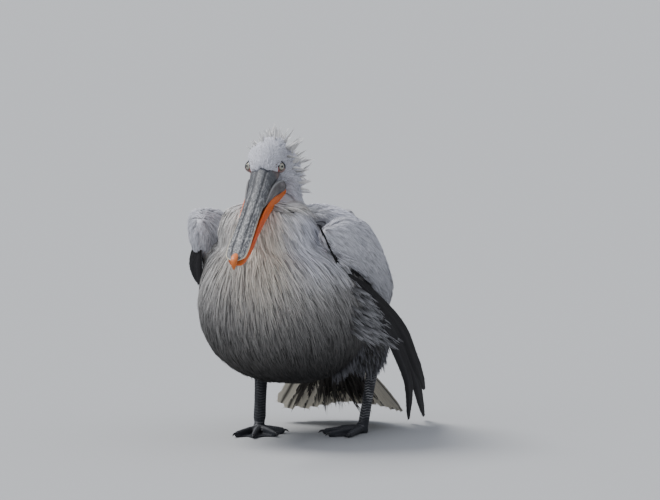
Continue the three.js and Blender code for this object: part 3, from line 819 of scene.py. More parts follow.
def quills(paths, acrosses, outwards, half_widths, tints, outline, rng, dome=0.16, fray=0.05,
           shaft=0.5, edge=1.0, fringe=7.0):
    """Large feathers, one for each path, and the loose barbs along their edges.

    Directions, half widths and tints are given for each feather, or one for all.
    """
    n = len(paths)
    acrosses, outwards, tints = (np.broadcast_to(v, (n, 3)) for v in (acrosses, outwards, tints))
    half_widths = np.broadcast_to(half_widths, n)
    t = np.linspace(0, 1, QUILL_ROWS)
    vanes, barbs = [], []
    for path, across, outward, half_width, tint in zip(paths, acrosses, outwards, half_widths, tints):
        spine = curve(path, t)
        head = unit(np.gradient(spine, axis=0))
        side = unit(across - head * (head @ across)[:, None])
        up = np.cross(side, head)
        up = up * np.sign((up @ outward).sum())
        shares, widths = np.array(outline).T
        width = half_width * np.interp(t, shares, widths)
        pale_scales_and_highlight = 1 + rng.normal(0, fray, (QUILL_ROWS, 2)) * step(0.2, 0.9, t)[:, None]
        u = QUILL_ACROSS
        reach = width[:, None] * u * np.where(u < 0, pale_scales_and_highlight[:, :1], pale_scales_and_highlight[:, 1:])
        rise = dome * width[:, None] * (1 - u**2) + 0.7 * (1 - t)[:, None] * (np.abs(u) < 0.05)
        places = spine[:, None] + side[:, None] * reach[..., None] + up[:, None] * rise[..., None]
        tone = np.where(np.abs(u) < 0.1, shaft, 1.0) * np.where(np.abs(u) > 0.9, edge, 1.0)
        tone = tone * (0.72 + 0.28 * t[:, None] ** 0.5) * rng.uniform(0.9, 1.08)
        vanes.append((places, np.asarray(tint) * tone[..., None]))
        m = int(2 * half_width)
        for sign, column in ((-1, 0), (1, len(u) - 1)):
            row = rng.uniform(0.25, 1.0, m) * (QUILL_ROWS - 1)
            low = np.minimum(row.astype(int), QUILL_ROWS - 2)
            part = (row - low)[:, None]
            start = places[low, column] * (1 - part) + places[low + 1, column] * part
            out = unit(head[low] + side[low] * sign * rng.uniform(0.25, 0.7, (m, 1)))
            s = np.array([-0.3, 0.4, 1.0])
            length = fringe * rng.uniform(0.4, 1.1, (m, 1, 1))
            bent = start[:, None] + out[:, None] * length * s[:, None] - up[low][:, None] * 0.3
            cross = unit(np.cross(out, up[low]))[:, None] * np.ones((1, 3, 1))
            narrow = 0.5 * np.array([1.0, 0.8, 0.05]) * np.ones((m, 1))
            barbs.append((bent, cross, narrow, np.ones((m, 3, 1)) * np.asarray(tint) * edge))
    shape = (n, QUILL_ROWS, len(QUILL_ACROSS))
    roots = np.array([v[0][0, 4] for v in vanes])
    batch = {
        "places": np.array([v[0] for v in vanes]),
        "tints": np.array([v[1] for v in vanes]),
        "along": np.broadcast_to(t[None, :, None], shape),
        "across": np.broadcast_to(QUILL_ACROSS, shape),
        "uv": unwrap_place(roots),
        "seed": rng.random(n),
    }
    loose = thin_ribbons(*(np.concatenate([b[k] for b in barbs]) for k in range(4)))
    loose_roots = np.concatenate([b[0][:, 0] for b in barbs])
    loose |= {"uv": unwrap_place(loose_roots), "seed": np.zeros(len(loose_roots))}
    return [batch, loose]


# The barbs run slantwise from the shaft, as bands over each vane's own two directions.
quill_finish, quill_shader = material("quills", 0.6, 0.2)
quill_vane = node(quill_finish, "ShaderNodeAttribute", attribute_name="vane")
quill_split = node(quill_finish, "ShaderNodeSeparateXYZ")
quill_side = node(quill_finish, "ShaderNodeMath", operation="ABSOLUTE")
quill_slant = node(quill_finish, "ShaderNodeMath", operation="MULTIPLY")
quill_slant.inputs[1].default_value = -0.22
quill_row = node(quill_finish, "ShaderNodeMath", operation="ADD")
quill_rows = node(quill_finish, "ShaderNodeCombineXYZ")
quill_barbs = node(
    quill_finish, "ShaderNodeTexWave", Scale=26.0, Distortion=2.5, Detail=3.0, bands_direction="X",
)
link(
    quill_finish,
    (quill_vane, "Vector", quill_split, "Vector"),
    (quill_split, "X", quill_side, 0),
    (quill_side, "Value", quill_slant, 0),
    (quill_slant, "Value", quill_row, 0),
    (quill_split, "Y", quill_row, 1),
    (quill_row, "Value", quill_rows, "X"),
    (quill_split, "Z", quill_rows, "Z"),
    (quill_rows, "Vector", quill_barbs, "Vector"),
)
shade_by(quill_finish, quill_shader, quill_barbs, 0.9, 1.07, 0.4, 0.0006)

# ---- folded wings --------------------------------------------------------------------------
# The wrist is a smooth round of small silvery coverts, longer toward the elbow. Black coverts
# show under its front edge, and the black primaries hang behind in a narrow curved fan.

BLACK = np.array([0.011, 0.0105, 0.012])


def turned(vector, side):
    return np.array(vector, float) * [side, 1, 1]


def outside(form, p, depth):
    """Which places are less than depth inside a form."""
    spot, up = form.nearest(p)
    return ((p - spot) * up).sum(1) > -depth


covert_batches = []
for name, side in SIDES.items():
    wing = wings[name]
    pole = mirrored([75, -255, 505], side) + WING_SHIFT[name]

    def wing_way(p, pole=pole, side=side):
        if side < 0:
            return 0.35 * unit(p - pole) + np.array([-0.3, 0.45, -1.0])
        return 0.9 * unit(p - pole) + np.array([-0.05, 0.8, -0.55])

    for spacing, first, last, length, radius, strands in (
        (7, -330, -185, 24, 5.0, 6), (9, -185, -90, 36, 6.5, 7), (12, -90, 300, 54, 8.5, 8),
    ):
        roots, _ = wing.scatter(spacing, 21, lambda p: (p[:, 1] > first) & (p[:, 1] <= last))
        roots = roots[outside(body, roots, 8) & (on_wing(roots) > 0.5)]
        covert_batches += locks(
            wing, roots, length, radius, rng, strands=strands, width=0.9, lift=0.8, sink=3.0, gather=0.3,
            curl=1.0, shade=(0.72, 1.06), way=wing_way, blade=1.1, colour=wing_colour_with_shade, sides_dark=0.22,
        )
        covert_batches += locks(
            wing, roots[::3], length * 0.8, 0.6, rng, strands=1, width=0.35, lift=1.6, sink=-0.8, gather=0.0,
            curl=1.0, shade=(0.55, 0.65), way=wing_way, blade=0, colour=wing_colour_with_shade,
        )
coat_pieces("wing_coverts", covert_batches, plume_finish)

TIPS_HELD = {"left": 0.0, "right": 96.0}  # the left wing's tips droop to just above the floor


def tip_lane(points, name):
    """A feather of the wing's tip, from places with the share of TIPS_HELD that raises each."""
    points = np.array(points, float)
    points[:, 2] += points[:, 3] * TIPS_HELD[name]
    return mirrored(points[:, :3], SIDES[name])


PRIMARY_LANE = [
    [150, -140, 350, 0], [160, -60, 304, 0], [163, 70, 224, 0.25], [153, 165, 138, 0.6], [139, 236, 76, 0.85],
]
OUTER_FINGER = [
    [154, -100, 320, 0], [162, 20, 246, 0.15], [158, 100, 190, 0.4], [147, 205, 104, 0.7], [125, 304, 9, 1],
]
INNER_FINGER = [
    [150, -100, 320, 0], [158, 10, 240, 0.15], [155, 80, 190, 0.4], [143, 182, 96, 0.7], [119, 238, 9, 1],
]
UNDER_EDGE_QUILLS = 24  # black coverts under the lower edge of each wing
FINGER_END = [(0, 0.3), (0.2, 0.8), (0.5, 1.0), (0.8, 0.85), (0.93, 0.6), (1, 0.2)]
for name, side in SIDES.items():
    lanes = []
    for i in range(7):
        lane = np.array(PRIMARY_LANE, float)
        share = i / 6
        lane[:, :3] += np.outer(np.linspace(0, 1, 5), [2 - 6 * share, 26 - 66 * share, -4 + 26 * share])
        lane[:, 0] += 4 - 1.5 * i
        lanes.append((lane, 14 - 0.4 * i))
    lanes += [(OUTER_FINGER, 14), (INNER_FINGER, 13)]
    paths = [tip_lane(lane, name) for lane, _ in lanes]
    batches = quills(
        paths, turned([0.5, 0.6, 0.62], side), turned([1, -0.4, 0.1], side), [w for _, w in lanes],
        [BLACK * (1 + 0.3 * (i % 3)) for i in range(len(paths))], FINGER_END, rng,
        shaft=2.0, edge=1.2, fringe=4.0, fray=0.03,
    )
    fan = coat_pieces(f"primaries_fan_{name}", batches, quill_finish)
    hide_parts(f"primaries_{name}")

    first, last = {"left": (0.09, 0.9), "right": (0.34, 0.9)}[name]
    lane = curve(WING_EDGE[name], np.linspace(first, last, UNDER_EDGE_QUILLS))
    edge = mirrored(lane, side) + WING_SHIFT[name]
    fit, up = wings[name].nearest(edge)
    hidden = {"left": 0.6, "right": 0.3}[name]  # of a covert, ahead of its root
    paths, widths = [], []
    for i in range(UNDER_EDGE_QUILLS):
        share = i / (UNDER_EDGE_QUILLS - 1)
        ahead = [-1, 30 + 30 * share, -30 - 22 * share] if name == "left" else [-1, 16, -52]
        ahead = turned(ahead, side)
        root = fit[i] + up[i] * (3.4 - 1.9 * share)
        paths.append(np.array([root - ahead * hidden, root, root + ahead * 0.5, root + ahead]))
        widths.append(2.0 + 6.0 * step(0.35, 0.75, share))
    batches = quills(
        paths, turned([0.2, 0.6, 0.8], side), turned([1, -0.2, 0], side), widths, BLACK, ROUND_END, rng,
        shaft=1.6, edge=1.4, fringe=4.0,
    )
    coat_pieces(f"primary_coverts_{name}", batches, quill_finish)

# Black coverts that hang out below the front of the right wing, which is held a little open.
WRIST_QUILLS = 18
paths = []
for i in range(WRIST_QUILLS):
    share, layer = (i % 9) / 8, i // 9
    root = np.array([-176 + 30 * share, -200 - 22 * share, 398 - 6 * layer])
    tip = np.array([-165 + 14 * share, -198 - 12 * share, 327 - 9 * share + 16 * layer])
    bow = np.array([-6 + 5 * share, -3, 0])
    paths.append(np.array([root, (2 * root + tip) / 3 + bow, (root + 2 * tip) / 3 + bow, tip]))
batches = quills(
    paths, np.array([0.95, -0.15, 0]), np.array([-0.2, -0.95, 0]), 5.5,
    [BLACK * rng.uniform(0.8, 1.8) for _ in paths], ROUND_END, rng, shaft=1.6, edge=1.6, fringe=5.0,
)
coat_pieces("wrist_coverts_right", batches, quill_finish)

# ---- scapulars and tertials ------------------------------------------------------------------
# Long silvery lances with dark shafts, laid like shingles over the shoulders and the rump.

SCAPULAR = np.array([0.58, 0.58, 0.61])
SCAPULAR_LINE = [[50, -150, 470], [62, -60, 458], [66, 30, 418], [58, 110, 362], [46, 170, 312]]
for name, side in SIDES.items():
    paths, acrosses, outwards, widths, tints = [], [], [], [], []
    for row in range(9):
        for lane in range(5):
            share = (row + 0.5 * (lane % 2)) / 9
            base = curve(SCAPULAR_LINE, np.array([share]))[0]
            base = base + [(lane - 2) * 17, 0, -abs(lane - 2.4) ** 2 * 3.5]
            ahead = np.array([(lane - 2) * 3.0 - 4, 70 + 26 * share, -22 - 34 * share])
            ahead = ahead * rng.uniform(0.9, 1.15)
            trail = np.array([base, base + ahead * 0.5, base + ahead, base + ahead * 1.45])
            fit, up = body.nearest(mirrored(trail, side))
            lift = np.array([-2.0, 2.0, 4.5, 6.0])[:, None] + 0.5 * rng.random()
            paths.append(fit + up * lift)
            outwards.append(unit(up[1:].mean(0)))
            acrosses.append(unit(np.cross(fit[-1] - fit[0], outwards[-1])))
            widths.append(11 + 3 * share + rng.normal(0, 0.6))
            tints.append(SCAPULAR * rng.uniform(0.88, 1.06))
    batches = quills(paths, acrosses, outwards, widths, tints, LANCE_END, rng, shaft=0.25, edge=1.12)
    coat_pieces(f"scapular_lances_{name}", batches, quill_finish)

    paths, widths, tints = [], [], []
    for lane in range(3):
        for layer in range(4):
            x = 18 + 28 * lane + 7 * layer - 10
            trail = np.array([
                [x + 8, -20 + 22 * layer, 430 - 14 * lane - 8 * layer],
                [x + 4, 75, 380 - 14 * lane - 3 * layer],
                [x, 160, 318 - 12 * lane - 3 * layer],
                [x - 5, 250 - 14 * lane - 16 * layer, 208 - 6 * lane + 14 * layer],
            ])
            paths.append(mirrored(trail, side))
            widths.append(15 + rng.normal(0, 1))
            tints.append(SCAPULAR * rng.uniform(0.82, 1.02))
    batches = quills(
        paths, turned([1, 0, -0.35], side), turned([0.3, 0.4, 1], side), widths, tints, LANCE_END, rng,
        shaft=0.2, edge=1.15, fringe=9.0,
    )
    lances = coat_pieces(f"tertial_lances_{name}", batches, quill_finish)
    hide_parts(f"tertials_{name}")

# ---- tail ------------------------------------------------------------------------------------
# Broad cream feathers with dark shafts, worn square at the tips and held in a drooped fan, with
# ragged coverts under their roots.

TAIL_ROOT = np.array([-4.0, 92.0, 214.0])
TAIL_LENGTH = 238.0
TAIL_SPREAD = 39.0
TAIL_CREAM = np.array([0.80, 0.745, 0.63])
TAIL_FEATHERS = 22


def tail_lane(fan, length, lift):
    """A feather's path at a fan angle in degrees, drooped more at the sides, as the fan is arched."""
    droop = np.radians(48.5 + 18 * (fan / 36) ** 2 + 3 * step(0, -30, fan))
    f = np.radians(fan)
    head = np.array([np.sin(f), np.cos(f) * np.cos(droop), -np.cos(f) * np.sin(droop)])
    side = np.array([np.cos(f), -np.sin(f), 0.0])
    up = np.cross(side, head)
    up = unit(up * np.sign(up[2]))
    points = [TAIL_ROOT + head * length * s + up * (lift + 6 * np.sin(np.pi * s)) for s in (0, 0.33, 0.66, 1)]
    return points, side, up


paths, acrosses, outwards, widths, tints = [], [], [], [], []
for i in range(TAIL_FEATHERS):
    fan = TAIL_SPREAD * (2 * i / (TAIL_FEATHERS - 1) - 1) + 2
    length = TAIL_LENGTH * rng.uniform(0.94, 1.01)
    path, side, up = tail_lane(fan + rng.normal(0, 0.7), length, 1.2 * abs(i - 10.5) * -0.5)
    paths.append(path)
    acrosses.append(side)
    outwards.append(up)
    widths.append(17.5 + rng.normal(0, 1.0))
    tints.append(TAIL_CREAM * rng.uniform(0.85, 1.08))
batches = quills(paths, acrosses, outwards, widths, tints, WORN_END, rng, dome=0.07, shaft=0.15,
                 edge=1.18, fringe=10.0, fray=0.08)
tail = coat_pieces("tail_fan", batches, quill_finish)
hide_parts("tail")

# Ragged coverts under the tail's middle, painted near black as the shade under the tail.
UNDERTAIL_LOCKS = 330
fans = rng.uniform(-31, 16, UNDERTAIL_LOCKS)
shares = rng.uniform(0.12, 0.66, UNDERTAIL_LOCKS)
lanes = [tail_lane(fan, TAIL_LENGTH, 0) for fan in fans]
covert_roots = np.array([curve(path, np.array([share]))[0] for (path, _, _), share in zip(lanes, shares)])
covert_ups = np.array([-up for _, _, up in lanes])
covert_heads = np.array([unit(path[-1] - path[0]) for path, _, _ in lanes])
covert_roots = covert_roots + covert_ups * 5
# Painted shade: the coverts' colour is near black for the shade under the tail.
UNDERTAIL_SHADE = np.array([0.075, 0.069, 0.063])
covert_heads = unit(covert_heads + rng.normal(0, 0.07, covert_heads.shape))
undertail = wisps(
    covert_roots, covert_heads, covert_ups, rng.uniform(70, 105, UNDERTAIL_LOCKS), rng, strands=9,
    width=1.8, radius=9.0, gather=0.7, curl=0.08, tints=(0.5, 1.2), colour=plain(UNDERTAIL_SHADE),
)
coat_pieces("undertail_coverts", [undertail], plume_finish)

def under_wing(p):
    """How high the left wing's lower edge is over places of the flank."""
    return np.interp(p[:, 1], WING_EDGE["left"][:, 1], WING_EDGE["left"][:, 2])


# Long loose plumes with white tips on the flanks, and short ones over the thighs, whose white is darkened as
# painted shade under the belly.
flank_batches = []
for name, side in SIDES.items():
    roots, ups = whole.scatter(
        10.0, 31,
        lambda p: step(100, 120, side * (p[:, 0] - MIDDLE_X)) * step(-150, -110, p[:, 1])
        * step(75, 55, p[:, 1]) * step(195, 215, p[:, 2] + 0.25 * p[:, 1]) * (p[:, 2] < under_wing(p) - 4),
    )
    heads = unit(turned([0.38, 0.66, -0.5], side) + rng.normal(0, 0.07, roots.shape))
    flank_batches.append(wisps(
        roots - ups * 2, heads, ups, rng.uniform(38, 62, len(roots)), rng, strands=7, width=0.95, radius=5.0,
        gather=0.95, curl=0.05, tints=(0.25, 1.3), pale=1.8,
        colour=plain([0.37, 0.37, 0.385]),
    ))
    roots, ups = whole.scatter(
        8.5, 32,
        lambda p: step(62, 80, side * (p[:, 0] - MIDDLE_X)) * step(-60, -30, p[:, 1])
        * step(95, 75, p[:, 1]) * step(112, 125, p[:, 2]) * step(205, 185, p[:, 2]),
    )
    heads = unit(turned([0.12, 0.25, -0.9], side) + rng.normal(0, 0.1, roots.shape))
    flank_batches.append(wisps(
        roots - ups * 2, heads, ups, rng.uniform(16, 30, len(roots)), rng, strands=7, width=0.8, radius=4.5,
        gather=0.9, curl=0.08, tints=(0.2, 1.1), pale=1.4,
        # White darkened to three tenths, as painted shade under the belly.
        colour=plain(WHITE * 0.3),
    ))
coat_pieces("flank_plumes", flank_batches, plume_finish)

# ---- bill ------------------------------------------------------------------------------------
# Horn over bone. The upper mandible has a round keel between two grooves and flaky, mottled sides
# with pale cutting edges. It ends in an orange hook. Both are in the head's own plan.


def at_head(places):
    return at(from_head(places))


def station(table, t):
    """Smooth values through rows of [t, value...]."""
    table = np.array(table, float)
    knots = np.linspace(0, 1, 81)
    fine = [np.interp(knots, table[:, 0], table[:, k]) for k in range(1, table.shape[1])]
    soft = np.hanning(11)
    soft /= soft.sum()
    padded = [np.convolve(np.pad(v, 5, mode="edge"), soft, "valid") for v in fine]
    return [np.interp(t, knots, v) for v in padded]


WELD = 2e-6


def weld(piece):
    """Joins corners that meet, so that a form's poles are single points."""
    shell = bmesh.new()
    shell.from_mesh(piece.data)
    bmesh.ops.remove_doubles(shell, verts=shell.verts, dist=WELD)
    bmesh.ops.dissolve_degenerate(shell, edges=shell.edges, dist=WELD)
    shell.to_mesh(piece.data)
    shell.free()


def hull_form(spine, across, sizes, sides=32, rings=40, ends=(0.3, 0.3), square=2.0):
    """A rounded form on a curved spine: places of rings x sides, its poles drawn to points.

    sizes has rows of [t, across, over, under], in millimetres.
    """
    turn = np.linspace(0, np.pi, rings)[:, None]
    t = (1 - np.cos(turn)) / 2
    angle = np.arange(sides)[None, :] * 2 * np.pi / sides
    width, over, under = station(sizes, t)
    lead = np.clip(t / max(ends[0], 1e-6), 0, 1)
    tail = np.clip((1 - t) / max(ends[1], 1e-6), 0, 1)
    cap = np.sqrt(1 - (1 - lead) ** 2) * np.sqrt(1 - (1 - tail) ** 2)
    middle = curve(spine, t[:, 0])
    head = unit(np.gradient(middle, axis=0))
    side = unit(np.asarray(across, float) - head * (head @ np.asarray(across, float))[:, None])
    up = np.cross(side, head)
    c, s = np.cos(angle), np.sin(angle)
    c = np.sign(c) * np.abs(c) ** (2 / square)
    s = np.sign(s) * np.abs(s) ** (2 / square)
    a = c * width * cap
    b = s * np.where(s > 0, over, under) * cap
    return middle[:, None] + side[:, None] * a[..., None] + up[:, None] * b[..., None]


def form_piece(name, places, finish, tints, closed=True):
    rows, columns = places.shape[:2]
    flat = places.reshape(-1, 3)
    piece = quad_mesh(name, flat, grid_quads(rows, columns, closed), finish)
    paint(piece, np.broadcast_to(tints, places.shape).reshape(-1, 3))
    weld(piece)
    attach(piece, "root")
    return piece


BILL_BASE_Y, BILL_END_Y = -10.0, -408.0
BILL_SIZES = [
    [0.0, 30.5, 25.0, 20.0], [0.12, 27.5, 24.0, 17.0], [0.3, 23.0, 16.0, 11.0], [0.55, 20.5, 9.5, 6.0],
    [0.85, 23.0, 7.4, 4.4], [0.96, 20.5, 6.4, 4.0], [1.0, 12.0, 4.5, 3.0],
]
BILL_LINE = [
    [0, BILL_BASE_Y, -18], [0, -60, -16], [0, -135, -17], [0, -240, -15], [0, -335, -14],
    [0, BILL_END_Y, -15],
]
HORN_GREY = np.array([0.085, 0.089, 0.098])
HORN_PALE = np.array([0.47, 0.47, 0.47])
HORN_DARK = np.array([0.035, 0.037, 0.042])
HORN_CREAM = np.array([0.66, 0.60, 0.46])
HORN_BLUE = np.array([0.008, 0.011, 0.022])
HORN_ROOT = np.array([0.21, 0.155, 0.145])
PLATE_GREY = np.array([0.135, 0.125, 0.125])

bill_rows, bill_columns = 190, 96
t = np.linspace(0, 1, bill_rows)[:, None]
around = np.arange(bill_columns)[None, :] * 2 * np.pi / bill_columns
bill_middle = curve(BILL_LINE, t[:, 0])
width, over, under = station(BILL_SIZES, t)
u = np.cos(around) * np.ones_like(t)
top = np.sin(around) > -1e-9
dome = (1 - np.abs(u) ** 2.6).clip(0) ** 0.72
groove = np.exp(-(((np.abs(u) - 0.40) / 0.075) ** 2)) * step(0.02, 0.12, t) * step(1.0, 0.9, t)
keel = np.exp(-((u / 0.27) ** 4)) * (1 - 0.5 * t)
plane = np.exp(-(((np.abs(u) - 0.72) / 0.16) ** 2))
height = over * dome - 2.0 * groove + 1.5 * keel * step(0, 0.1, t) - 0.5 * plane * step(0.1, 0.3, t)
lower = -under * (1 - np.abs(u) ** 3).clip(0) ** 0.5
bill_z = np.where(top, height, lower)
bill_x = u * width * np.sqrt(step(1.012, 0.955, t))
bill_z = bill_middle[:, 2:3] + bill_z * np.sqrt(step(1.02, 0.93, t))
bill_places = np.stack([bill_x, bill_middle[:, 1:2] + 0 * u, bill_z], -1)

flake_rng = np.random.default_rng(8)
far = step(0.1, 0.75, t)
flake = np.zeros_like(u)
for _ in range(200):
    length, lane = flake_rng.uniform(0.002, 0.010), flake_rng.uniform(0.008, 0.035)
    for _ in range(22):
        ct, cu = flake_rng.random(), flake_rng.uniform(-1, 1)
        flake += flake_rng.uniform(-0.5, 0.6) * np.exp(-(((t - ct) / length) ** 2) - ((u - cu) / lane) ** 2)
flake = np.tanh(1.6 * (flake / flake.std() - 0.15))[..., None]
bill_tint = HORN_GREY * np.ones(u.shape + (1,))
bill_tint = mix(bill_tint, HORN_PALE * 0.8, (keel * (0.12 + 0.5 * far))[..., None])
bill_tint = mix(bill_tint, HORN_PALE, np.clip(flake, 0, 1) * (0.10 + 0.62 * far[..., None]))
bill_tint = mix(bill_tint, HORN_DARK, np.clip(-flake, 0, 1) * 0.45)
# The grooves are darkened as painted shade.
bill_tint = mix(bill_tint, HORN_DARK, (groove * 0.85)[..., None])
cutting = step(0.86, 0.97, np.abs(u)) * step(0.35, 0.85, t)
bill_tint = mix(bill_tint, HORN_CREAM, (cutting * 0.9)[..., None])
bare = step(0.60, 0.80, np.abs(u)) * step(0.13, 0.08, t) * (0.6 + 0.4 * flake[..., 0])
bill_tint = mix(bill_tint, HORN_ROOT, (bare * 0.9)[..., None])
browed = step(0.165, 0.135, t) * step(0.66, 0.5, np.abs(u)) * top
bill_tint = mix(bill_tint, HORN_BLUE, browed[..., None])
horn_finish = tinted(
    "horn", 0.5, 560.0, 0.0005, 0.6, specular=0.3, coat=0.05, stretch=(1.0, 0.25, 1.0),
    turn=(-HEAD_PITCH, 0, -HEAD_YAW),
)
bill_places = bill_places[:, ::-1]
upper_bill = form_piece("bill_upper_horn", at_head(bill_places), horn_finish, bill_tint[:, ::-1])
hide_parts("bill_upper")

# The hooked nail, a harder tip of orange horn let into the end of the upper mandible.
nail_spine = [[0, -378, -10.5], [0, -396, -9.5], [0, -410, -12.5], [0, -417, -20], [0, -418.5, -30]]
NAIL_SIZES = [
    [0, 5, 2.5, 2], [0.3, 7.2, 4.2, 3.6], [0.6, 6.6, 4.4, 4], [0.85, 4.2, 3.2, 3], [1, 1.6, 1.3, 1.3],
]
nail_places = hull_form(nail_spine, [1, 0, 0], NAIL_SIZES, ends=(0.4, 0.25))
nail_t = np.linspace(0, 1, nail_places.shape[0])[:, None, None]
nail_tint = np.array([0.74, 0.17, 0.01]) * (1 - 0.35 * nail_t) + 0.05 * (1 - nail_t)
nail_finish = tinted("nail_horn", 0.42, 300.0, 0.0003, 0.2, specular=0.4, coat=0.08)
nail = form_piece("bill_nail_hook", at_head(nail_places), nail_finish, nail_tint)
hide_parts("bill_nail")

# The lower mandible: two slim bendy bones under the upper one's edges, and between them the bare
# pouch, drawn up in fine lengthwise folds.
POUCH_ROWS, POUCH_COLUMNS = 150, 72
t = np.linspace(0, 1, POUCH_ROWS)[:, None]
rail = curve(RAMUS, t[:, 0])
f = np.linspace(-1, 1, POUCH_COLUMNS)[None, :]
depth = np.interp(t, [0, 0.15, 0.45, 0.8, 1], [13, 21, 26, 15, 4])
rim = np.exp(-(((np.abs(f) - 0.93) / 0.07) ** 2))
fold = np.sin(np.abs(f) * 38 + 2.0 * np.sin(t * 9)) * (1 - rim) * step(1.0, 0.7, t) * 0.55
hang = np.cos(f * np.pi / 2).clip(0) ** 0.45
bulge = 1 + 0.05 * np.sin(np.pi * np.abs(f)) * step(0.6, 0.1, t)
pouch_x = rail[:, 0:1] * np.sign(f) * np.abs(np.sin(f * np.pi / 2)) ** 0.36 * bulge + np.sign(f) * rim * 1.3
raised = 3.0 + 4.0 * step(-55, -85, rail[:, 1:2]) * step(-250, -170, rail[:, 1:2])
pouch_z = rail[:, 2:3] + raised * step(0.9, 1.0, np.abs(f)) - depth * hang + fold
pouch_places = np.stack([pouch_x, rail[:, 1:2] + 0 * f, pouch_z], -1)
POUCH_RED = np.array([0.86, 0.10, 0.0])
POUCH_ORANGE = np.array([1.0, 0.20, 0.002])
blend = (0.5 + 0.5 * np.sin(t * 7 + 0.6) * np.ones_like(f))[..., None]
pouch_tint = mix(POUCH_RED, POUCH_ORANGE, blend)
pouch_tint = pouch_tint * (1 - 0.45 * step(0.75, 1.0, t))[..., None] * (1 - 0.25 * rim)[..., None]
pouch_finish = tinted("pouch_skin", 0.5, 260.0, 0.0005, 0.12, specular=0.3, coat=0.05)
pouch_shader = pouch_finish.node_tree.nodes["Principled BSDF"]
pouch_shader.inputs["Subsurface Weight"].default_value = 0.05
pouch_shader.inputs["Subsurface Scale"].default_value = 0.004
pouch = form_piece("bill_pouch", at_head(pouch_places), pouch_finish, pouch_tint, closed=False)
solid = pouch.modifiers.new("thickness", "SOLIDIFY")
solid.thickness = 0.0022
solid.offset = -1
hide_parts("pouch", "bill_lower")

# ---- eyes and bare face ----------------------------------------------------------------------
# Pale eyes under a clear cornea, in a bare orbit whose lids are dark above and red in the front
# corner. The bare skin runs forward to the horn, and a grey plate of horn covers the gape.

EYE_RADIUS = 11.0
EYE_AT = np.array([30.0, -4.0, -6.0])
EYE_AXIS = unit(np.array([0.64, -0.66, 0.38]))
EYE_TILT = np.radians(38)  # how far the long way of the opening leans forward at its foot


def eye_frame(side):
    axis = EYE_AXIS * [side, 1, 1]
    rise = unit(np.array([0, 0, 1.0]) - axis * axis[2])
    ahead = unit(np.cross(rise, axis)) * side  # towards the bill
    ahead = ahead * np.sign(-ahead[1])
    long = rise * np.cos(EYE_TILT) - ahead * np.sin(EYE_TILT)
    wide = rise * np.sin(EYE_TILT) + ahead * np.cos(EYE_TILT)
    return EYE_AT * [side, 1, 1], axis, long, wide


eye_finish, eye_shader = material("iris", 0.05, 0.6, coat=1.0)
eye_noise = node(eye_finish, "ShaderNodeTexNoise", Scale=900.0, Detail=3.0)
shade_by(eye_finish, eye_shader, eye_noise, 0.85, 1.1)
face_finish = tinted("bare_face", 0.5, 500.0, 0.0006, 0.18, specular=0.4)

IRIS_PALE = np.array([0.46, 0.45, 0.36])
IRIS_RIM = np.array([0.16, 0.13, 0.09])
PUPIL = np.array([0.004, 0.004, 0.005])
LID_DARK = np.array([0.012, 0.016, 0.03])
CORNER_RED = np.array([0.32, 0.025, 0.012])
FACE_PINK = np.array([0.30, 0.20, 0.18])
FACE_SLATE = np.array([0.09, 0.085, 0.095])


def bare_reach(around_eye):
    """How far the bare skin reaches from the eye, in millimetres, at an angle from its long way."""
    front = np.cos(around_eye - np.radians(132)).clip(0)
    return 9.2 + 1.8 * step(0.3, -0.3, np.cos(around_eye)) + 15.0 * front**2.2


